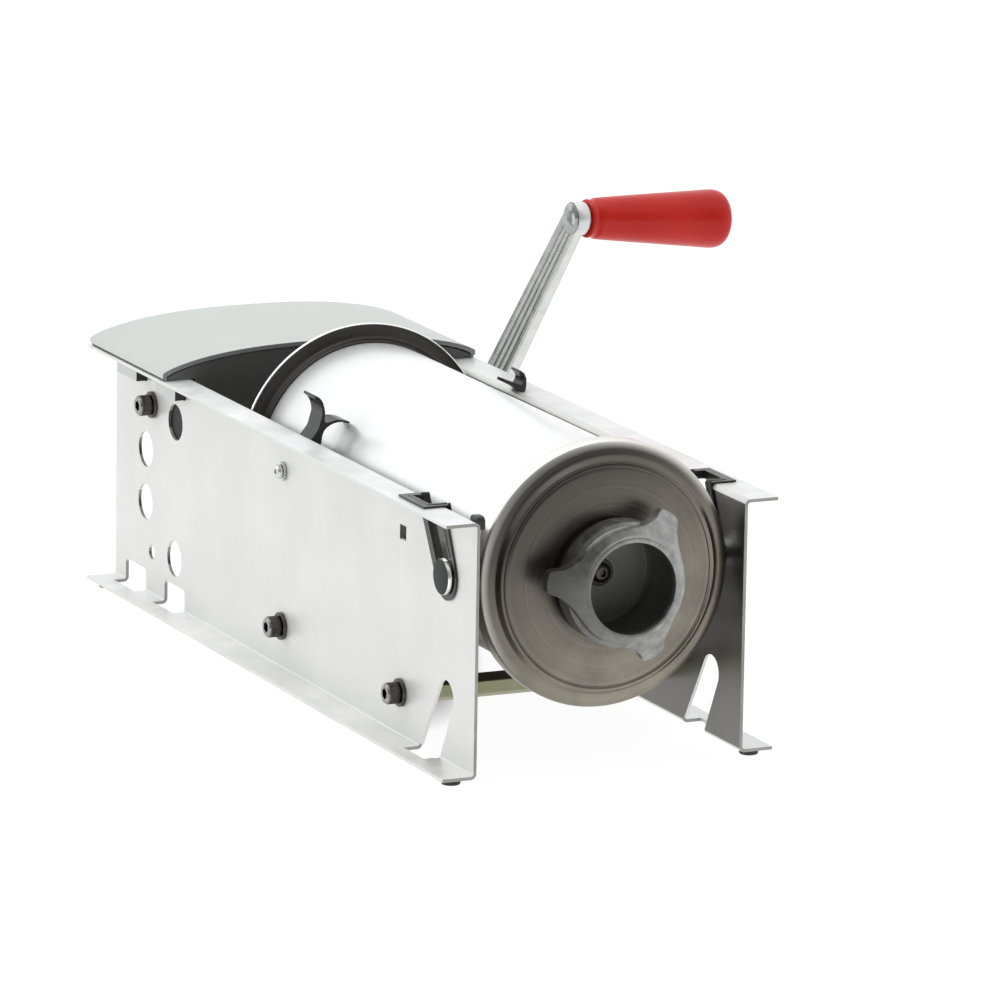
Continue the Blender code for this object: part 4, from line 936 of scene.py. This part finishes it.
def crank_arm():
    """Cast arm with a fluted inner face, a hub and a boss for the grip."""
    hub, boss = np.array(CRANK_SHAFT), np.array(BOSS)
    along = (boss - hub) / np.linalg.norm(boss - hub)
    across = np.array([-along[1], along[0]])
    x_in, x_out = ARM_X
    flute = 0.0015
    section = [(-1.0, x_in + 0.0012), (-0.90, x_in), (-0.64, x_in), (-0.52, x_in + flute),
               (-0.34, x_in + flute), (-0.25, x_in), (-0.15, x_in), (-0.07, x_in + flute),
               (0.12, x_in + flute), (0.20, x_in), (0.30, x_in), (0.38, x_in + flute),
               (0.56, x_in + flute), (0.66, x_in), (0.90, x_in), (1.0, x_in + 0.0012),
               (1.0, x_out - 0.0015), (0.86, x_out), (-0.86, x_out), (-1.0, x_out - 0.0015)]
    verts = []
    for centre, half, thinner in ((hub, 0.0122, 0.0), (boss, 0.0094, 0.0020)):
        for w, x in section:
            p = centre + across * w * half
            x -= thinner if x > x_out - 0.002 else 0.0
            verts.append((x, float(p[0]), float(p[1])))
    n = len(section)
    faces = [tuple(range(n)), tuple(range(2 * n - 1, n - 1, -1))]
    faces += [(i, (i + 1) % n, n + (i + 1) % n, n + i) for i in range(n)]
    arm = make("crank_arm", verts, faces, "crank_alloy")
    hub_profile = [(0, 0.1120), (0.0150, 0.1120), (0.0159, 0.1124), (0.0163, 0.1134), (0.0168, 0.1326),
                   (0.0165, 0.1335), (0.0156, 0.1340), (0, 0.1340)]
    boss_profile = [(0, 0.1242), (0.0094, 0.1242), (0.0101, 0.1245), (0.0104, 0.1252), (0.0104, 0.1321),
                    (0.0102, 0.1326), (0.0098, 0.1327), (0, 0.1327)]
    fuse(arm, lathe("tool", hub_profile, "X", CRANK_SHAFT), lean(lathe("tool", boss_profile, "X", BOSS)))
    cut(arm, rod(CRANK_SHAFT_R + GAP, 0.1100, 0.1293, CRANK_SHAFT),
        lean(rod(0.0045 + GAP, 0.1200, 0.1360, BOSS)))
    inner = frame((x_in, 0.0, 0.0))[0]
    refinish(arm, "crank_side", lambda at, way: abs(way.x) < 0.7)
    refinish(arm, "crank_groove", lambda at, way: way.x < -0.7 and 0.0008 < at.x - inner < 0.0030)
    round_edges(arm, 0.0004, 3, 28.0)
    pin = [(0, 0.1262), (0.0041, 0.1262), (0.0045, 0.1266), (0.0045, 0.1327 + GAP),
           (0.0085, 0.1327 + GAP), (0.0085, 0.1343), (0.0050, 0.1343), (0.0050, 0.2200), (0, 0.2200)]
    smooth(lean(lathe("grip_pin", pin, "X", BOSS, "zinc_steel")))


def grip():
    x0, x1 = GRIP_X[0], GRIP_X[1] - 0.0003
    bore = 0.0050 + RUNNING
    outer = spline([(0.0106, x0), (0.0116, x0 + 0.0003), (0.0120, x0 + 0.0010), (0.0119, x0 + 0.0018),
                    (0.0115, x0 + 0.0030), (0.0116, x0 + 0.0042), (0.0122, x0 + 0.0056),
                    (0.0129, x0 + 0.0076), (0.0138, x0 + 0.0190), (0.0155, x0 + 0.0450),
                    (0.0172, x1 - 0.0280), (0.0181, x1 - 0.0150), (0.0183, x1 - 0.0090),
                    (0.0173, x1 - 0.0048), (0.0147, x1 - 0.0022), (0.0110, x1 - 0.0009),
                    (0.0060, x1 - 0.0002), (0.0, x1)], 5)
    outer[-1] = (0, x1)
    profile = [(bore, x0)] + outer + [(0, 0.2210), (bore, 0.2210)]
    return smooth(lean(lathe("grip", profile, "X", BOSS, "red_gloss", 96)), 50.0)


# ======================== cover, case, clips
def arch(half_width, crest, low, steps):
    """Arched outline from the right foot over the crest to the left foot."""
    points = []
    for i in range(steps + 1):
        x = half_width * math.cos(math.pi * i / steps)
        k = 1.0 - (abs(x) / (half_width + 0.0004)) ** 2.5
        points.append((x, low + (crest - low) * k ** 0.75))
    return points


def rear_cover():
    base = PANEL_HEIGHT + GAP
    half = FLANGE_OUT
    outer = arch(half, COVER_CREST, base + 0.0042, 72)
    reveal = [(half, base + 0.0016), (half - 0.0012, base + 0.0012), (half - 0.0012, base)]
    outline = reveal[::-1] + outer + [(-x, z) for x, z in reveal]
    cover = prism("rear_cover", outline, COVER_FRONT, COVER_REAR, "Y", "cover_grey")
    w = COVER_WALL
    inner = arch(half - w, COVER_CREST - w, base + 0.0022, 72)
    hollow = [(half - w, base - 0.004)] + inner + [(-half + w, base - 0.004)]
    cut(cover, prism("tool", hollow, COVER_FRONT - 0.004, COVER_REAR - w, "Y"))
    legs = []
    for side in (-1, 1):
        a, b = span(side, 0.0880, 0.0943)
        for y0, y1 in LEG_CUTS:
            legs.append(block((a, y0 + 0.0006, PANEL_HEIGHT - 0.0150), (b, y1 - 0.0006, 0.1623)))
    fuse(cover, *legs)
    top = frame((0.0, 0.0, PANEL_HEIGHT))[2]
    # painted shade: the cover's front faces take the darker copy of the cover grey
    refinish(cover, "cover_front_painted_shade", lambda at, way: way.y < -0.9)
    # painted shade: the lowest front faces, with the legs' fronts, take the near-black rubber look, and
    # the side faces just above the flange the black plastic look, as the shaded gap under the cover
    refinish(cover, "foot_rubber", lambda at, way: way.y < -0.9 and at.z < top + 0.0045)
    refinish(cover, "black_plastic", lambda at, way: abs(way.x) > 0.9 and top < at.z < top + 0.0013)
    return round_edges(cover, 0.0011, 4, 50.0)


def gear_case():
    """Dark moulding under the cover: front face and walls round the gears."""
    w = 0.0024
    base = PANEL_HEIGHT + GAP
    x_out = FLANGE_OUT - COVER_WALL - GAP - 0.0004
    inner = arch(x_out, COVER_CREST - COVER_WALL - 0.0006, base + 0.0012, 72)
    x_in = WEB_IN - GAP
    y0 = COVER_FRONT + 0.0008
    y1 = 0.5436
    low = CASE_BOTTOM
    front = [(x_out, base)] + inner + [(-x_out, base), (-x_in, base), (-x_in, low), (-0.013, low),
                                       (-0.013, 0.1290), (0.013, 0.1290), (0.013, low), (x_in, low),
                                       (x_in, base)]
    case = prism("gear_case", front, y0, y0 + w, "Y", "case_dark")
    top = PANEL_HEIGHT - 0.004
    wall_y = y0 + w / 2
    left = block((-x_in, wall_y, low), (-x_in + w, y1, top))
    right = block((x_in - w, wall_y, low), (x_in, y1, top))
    rear = [(x_in - w / 2, low), (x_in - w / 2, top), (-x_in + w / 2, top), (-x_in + w / 2, low),
            (-0.013, low), (-0.013, 0.1290), (0.013, 0.1290), (0.013, low)]
    back = prism("tool", rear, y1 - w, y1 - 0.0002, "Y")
    fuse(case, left, right, back)
    cut(case, rod(0.0104, -x_in - 0.003, -x_in + 0.006, REAR_BOLT, seg=32),
        rod(0.0104, x_in - 0.006, x_in + 0.003, REAR_BOLT, seg=32),
        rod(0.0098, x_in - 0.006, x_in + 0.003, CRANK_SHAFT, seg=32))
    # painted shade: the case's side faces take the near-black rubber look
    refinish(case, "foot_rubber", lambda at, way: abs(way.x) > 0.9)
    return round_edges(case, 0.0009, 4, 50.0)


# outlines in millimetres: (X, Z) of the two catches, (Y, Z) of the buffer
HOOK = [(-84.7, 117.0), (-84.7, 144.0), (-84.3, 147.2), (-81.6, 150.5), (-77.7, 155.4), (-76.1, 160.2),
        (-75.2, 163.2), (-74.9, 166.2), (-75.9, 170.2), (-77.9, 173.4), (-80.0, 175.1), (-79.4, 176.5),
        (-77.6, 175.6), (-76.0, 174.2), (-74.3, 171.3), (-73.1, 166.3), (-73.2, 162.4), (-72.9, 159.6),
        (-70.4, 159.6), (-66.2, 160.6), (-61.9, 160.4), (-57.2, 159.0), (-57.4, 157.9), (-61.9, 159.1),
        (-65.9, 158.9), (-69.8, 157.6), (-73.1, 155.1), (-74.7, 151.5), (-75.4, 147.2), (-77.4, 140.0),
        (-80.6, 133.4), (-82.0, 131.0), (-82.0, 117.0)]
STOP = [(78.4, 159.2), (78.9, 161.0), (84.5, 158.8), (89.3, 156.8), (90.6, 158.6), (91.0, 161.0),
        (89.8, 163.4), (87.8, 165.2), (88.6, 166.4), (91.2, 164.6), (92.8, 161.2), (92.8, 157.0),
        (92.2, 152.8), (88.8, 152.8), (87.0, 154.8), (83.8, 156.6)]
BUFFER = [(4.6, 146.8), (15.4, 146.8), (15.4, 152.4), (14.4, 154.0), (12.6, 154.8), (7.4, 154.8),
          (5.6, 154.0), (4.6, 152.4)]


def metres(outline):
    return [(u * 0.001, v * 0.001) for u, v in outline]


def catches():
    """Black moulded catches that hold the rear of the cylinder down."""
    hook = metres(HOOK)
    left = prism("catch_left", hook[:1] + spline(hook[1:-1], 4) + hook[-1:], 0.250, 0.267, "Y",
                 "black_plastic")
    ear = block((-0.0847, 0.266, 0.1172), (-0.0822, 0.288, 0.1328))
    fuse(left, ear)
    cut(left, rod(0.0033, -0.088, -0.078, CATCH_HOLE, seg=32))
    round_edges(left, 0.0004, 3, 40.0)
    x0 = -(WEB_OUT + GAP)
    washer = []
    for i in range(64):
        t = 2 * math.pi * i / 64
        r = 0.0058 if i % 4 in (0, 1) else 0.0051
        washer.append((CATCH_HOLE[0] + r * math.cos(t), CATCH_HOLE[1] + r * math.sin(t)))
    washer = prism("catch_washer", washer, x0 - 0.0016, x0, "X", "zinc_steel")
    cut(washer, rod(0.0032, x0 - 0.004, x0 + 0.002, CATCH_HOLE, seg=32))
    round_edges(washer, 0.00015, 2)
    x1 = x0 - 0.0016 - GAP
    screw = [(0, -0.0795), (0.0029, -0.0795), (0.0029, x1), (0.0043, x1), (0.0045, x1 - 0.0003),
             (0.0045, x1 - 0.0010), (0.0042, x1 - 0.0018), (0.0036, x1 - 0.0026), (0.0028, x1 - 0.0030),
             (0.0018, x1 - 0.0032), (0, x1 - 0.0032)]
    screw = lathe("catch_screw", screw, "X", CATCH_HOLE, "zinc_steel", 48)
    cut(screw, prism("tool", hexagon(CATCH_HOLE[0], CATCH_HOLE[1], 0.0030), x1 - 0.004, x1 - 0.0016, "X"))
    round_edges(screw, 0.00012, 2)
    round_edges(prism("catch_right", metres(STOP), 0.318, 0.331, "Y", "black_plastic"), 0.0003, 3)
    return round_edges(prism("corner_bumper", metres(BUFFER), -WEB_IN + GAP, -WEB_IN + 0.0052, "X",
                             "black_plastic"), 0.0005, 3)


# ======================== scene
LENS = 288.55                 # millimetres, on a 36 mm wide sensor
SENSOR = 36.0
CAMERA_AT = (-2.0426635 + X_MID + 0.0635, -4.32778665, 1.18896975)
CAMERA_RIGHT = (0.90701456, -0.4207673, 0.0167171)
CAMERA_UP = (0.0783848, 0.20770647, 0.97504556)
CAMERA_AHEAD = (0.41373954, 0.88307016, -0.22137456)

# name, place, size in metres and power in watts of each lamp, all aimed at the origin
LAMPS = [("soft_top", (-0.6, 0.6, 2.6), 2.6, 14.0), ("key_left", (-1.7, 1.5, 1.0), 0.6, 7.0)]
DIM_SIDE = (-0.30, -0.95, 0.0)  # the surround is darkest that way, so that edges read
SURROUND = (1.05, 0.22)       # strength of the surround away from the dim side and on it
SURROUND_TINT = (0.985, 0.995, 1.0, 1.0)

FLOOR_HALF = 14.0
FLOOR_GLOW = 0.96             # the floor is lit from below, like a light table
SHADE_DEPTH = 0.05            # glow left in the contact shade under the machine
SHADE_AT = (X_MID, Y_FRONT + 0.325, 0.0)
SHADE_SIZE = (0.062, 0.215, 1.0)
SHADE_TURN = math.radians(-20.0)


def mount_pieces():
    """Let every piece ride on the body of the CAD node that it stands for."""
    record = frame_data["record"]
    body_of = {n: body for body, names in record["behaviour"]["bodies"].items() for n in names}
    slot_of = {row["node"]: row["material_slot"] for row in record["subparts"]}
    for name, obj in FINE.items():
        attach(obj, body_of[name])
        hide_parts(name)
    for name, obj in frame_data["nodes"].items():
        if obj.hide_render:
            continue
        obj.data.materials.clear()
        obj.data.materials.append(LOOKS[slot_of[name]])
        bevel(obj, 0.00025, 2, 40.0)


def build_floor():
    mesh = bpy.data.meshes.new("floor")
    s = FLOOR_HALF
    mesh.from_pydata([(-s, -s, 0), (s, -s, 0), (s, s, 0), (-s, s, 0)], [], [(0, 1, 2, 3)])
    floor = add_object("floor", mesh)
    mat, tree, shader = finish_nodes("look_floor")
    set_inputs(shader, Roughness=0.9, Specular_IOR_Level=0.1, Emission_Color=(1.0, 1.0, 1.0, 1.0))
    place_at = tree.nodes.new("ShaderNodeMapping")
    place_at.vector_type = "TEXTURE"
    turn = (0.0, 0.0, SHADE_TURN)
    set_inputs(place_at, Location=SHADE_AT, Rotation=turn, Scale=SHADE_SIZE)
    tree.links.new(object_position(tree), place_at.inputs["Vector"])
    reach = vector_math(tree, "LENGTH", place_at.outputs["Vector"])
    glow = remap(tree, reach, SHADE_DEPTH, FLOOR_GLOW, 0.55, 1.0)
    tree.links.new(glow, shader.inputs["Emission Strength"])
    tone = mix_color(tree, remap(tree, reach, 0.0, 1.0, 0.55, 1.0), (0.04,) * 3, (0.10,) * 3)
    tree.links.new(tone, shader.inputs["Base Color"])
    mesh.materials.append(mat)


def build_lights():
    world = bpy.data.worlds.new("studio")
    bpy.context.scene.world = world
    world.use_nodes = True
    tree = world.node_tree
    back = tree.nodes["Background"]
    coord = tree.nodes.new("ShaderNodeTexCoord")
    way = Vector(DIM_SIDE).normalized()
    dot = vector_math(tree, "DOT_PRODUCT", coord.outputs["Generated"], way)
    tree.links.new(remap(tree, dot, *SURROUND, 0.15, 0.75), back.inputs["Strength"])
    back.inputs["Color"].default_value = SURROUND_TINT
    for name, at, size, power in LAMPS:
        data = bpy.data.lights.new(name, "AREA")
        data.size = size
        data.energy = power
        lamp = add_object(name, data)
        lamp.location = at
        lamp.rotation_euler = (-Vector(at)).to_track_quat("-Z", "Y").to_euler()


def build_camera():
    data = bpy.data.cameras.new("camera")
    data.lens = LENS
    data.sensor_width = SENSOR
    data.clip_end = 60.0
    camera = add_object("camera", data)
    turn = Matrix((CAMERA_RIGHT, CAMERA_UP, -Vector(CAMERA_AHEAD))).transposed().to_4x4()
    camera.matrix_world = Matrix.Translation(CAMERA_AT) @ turn
    bpy.context.scene.camera = camera


build_looks()
for each_side in (-1, 1):
    side_panel(each_side)
    slot_trim(each_side)
    for bolt_tag, bolt_at in (("front", FRONT_BOLT), ("middle", MIDDLE_BOLT), ("rear", REAR_BOLT)):
        bolt(bolt_tag, each_side, bolt_at)
tie_bar("tie_bar_front", FRONT_BOLT)
tie_bar("tie_bar_middle", MIDDLE_BOLT)
for foot_side, foot_tag in ((-1, "left"), (1, "right")):
    foot("foot_front_" + foot_tag, foot_side * 0.0965, 0.0105)
    foot("foot_rear_" + foot_tag, foot_side * 0.0965, 0.5365)
cylinder()
ring_nut()
piston()
crank_arm()
grip()
rear_cover()
gear_case()
catches()
mount_pieces()
build_floor()
build_lights()
build_camera()
bpy.context.scene.view_settings.view_transform = "Standard"
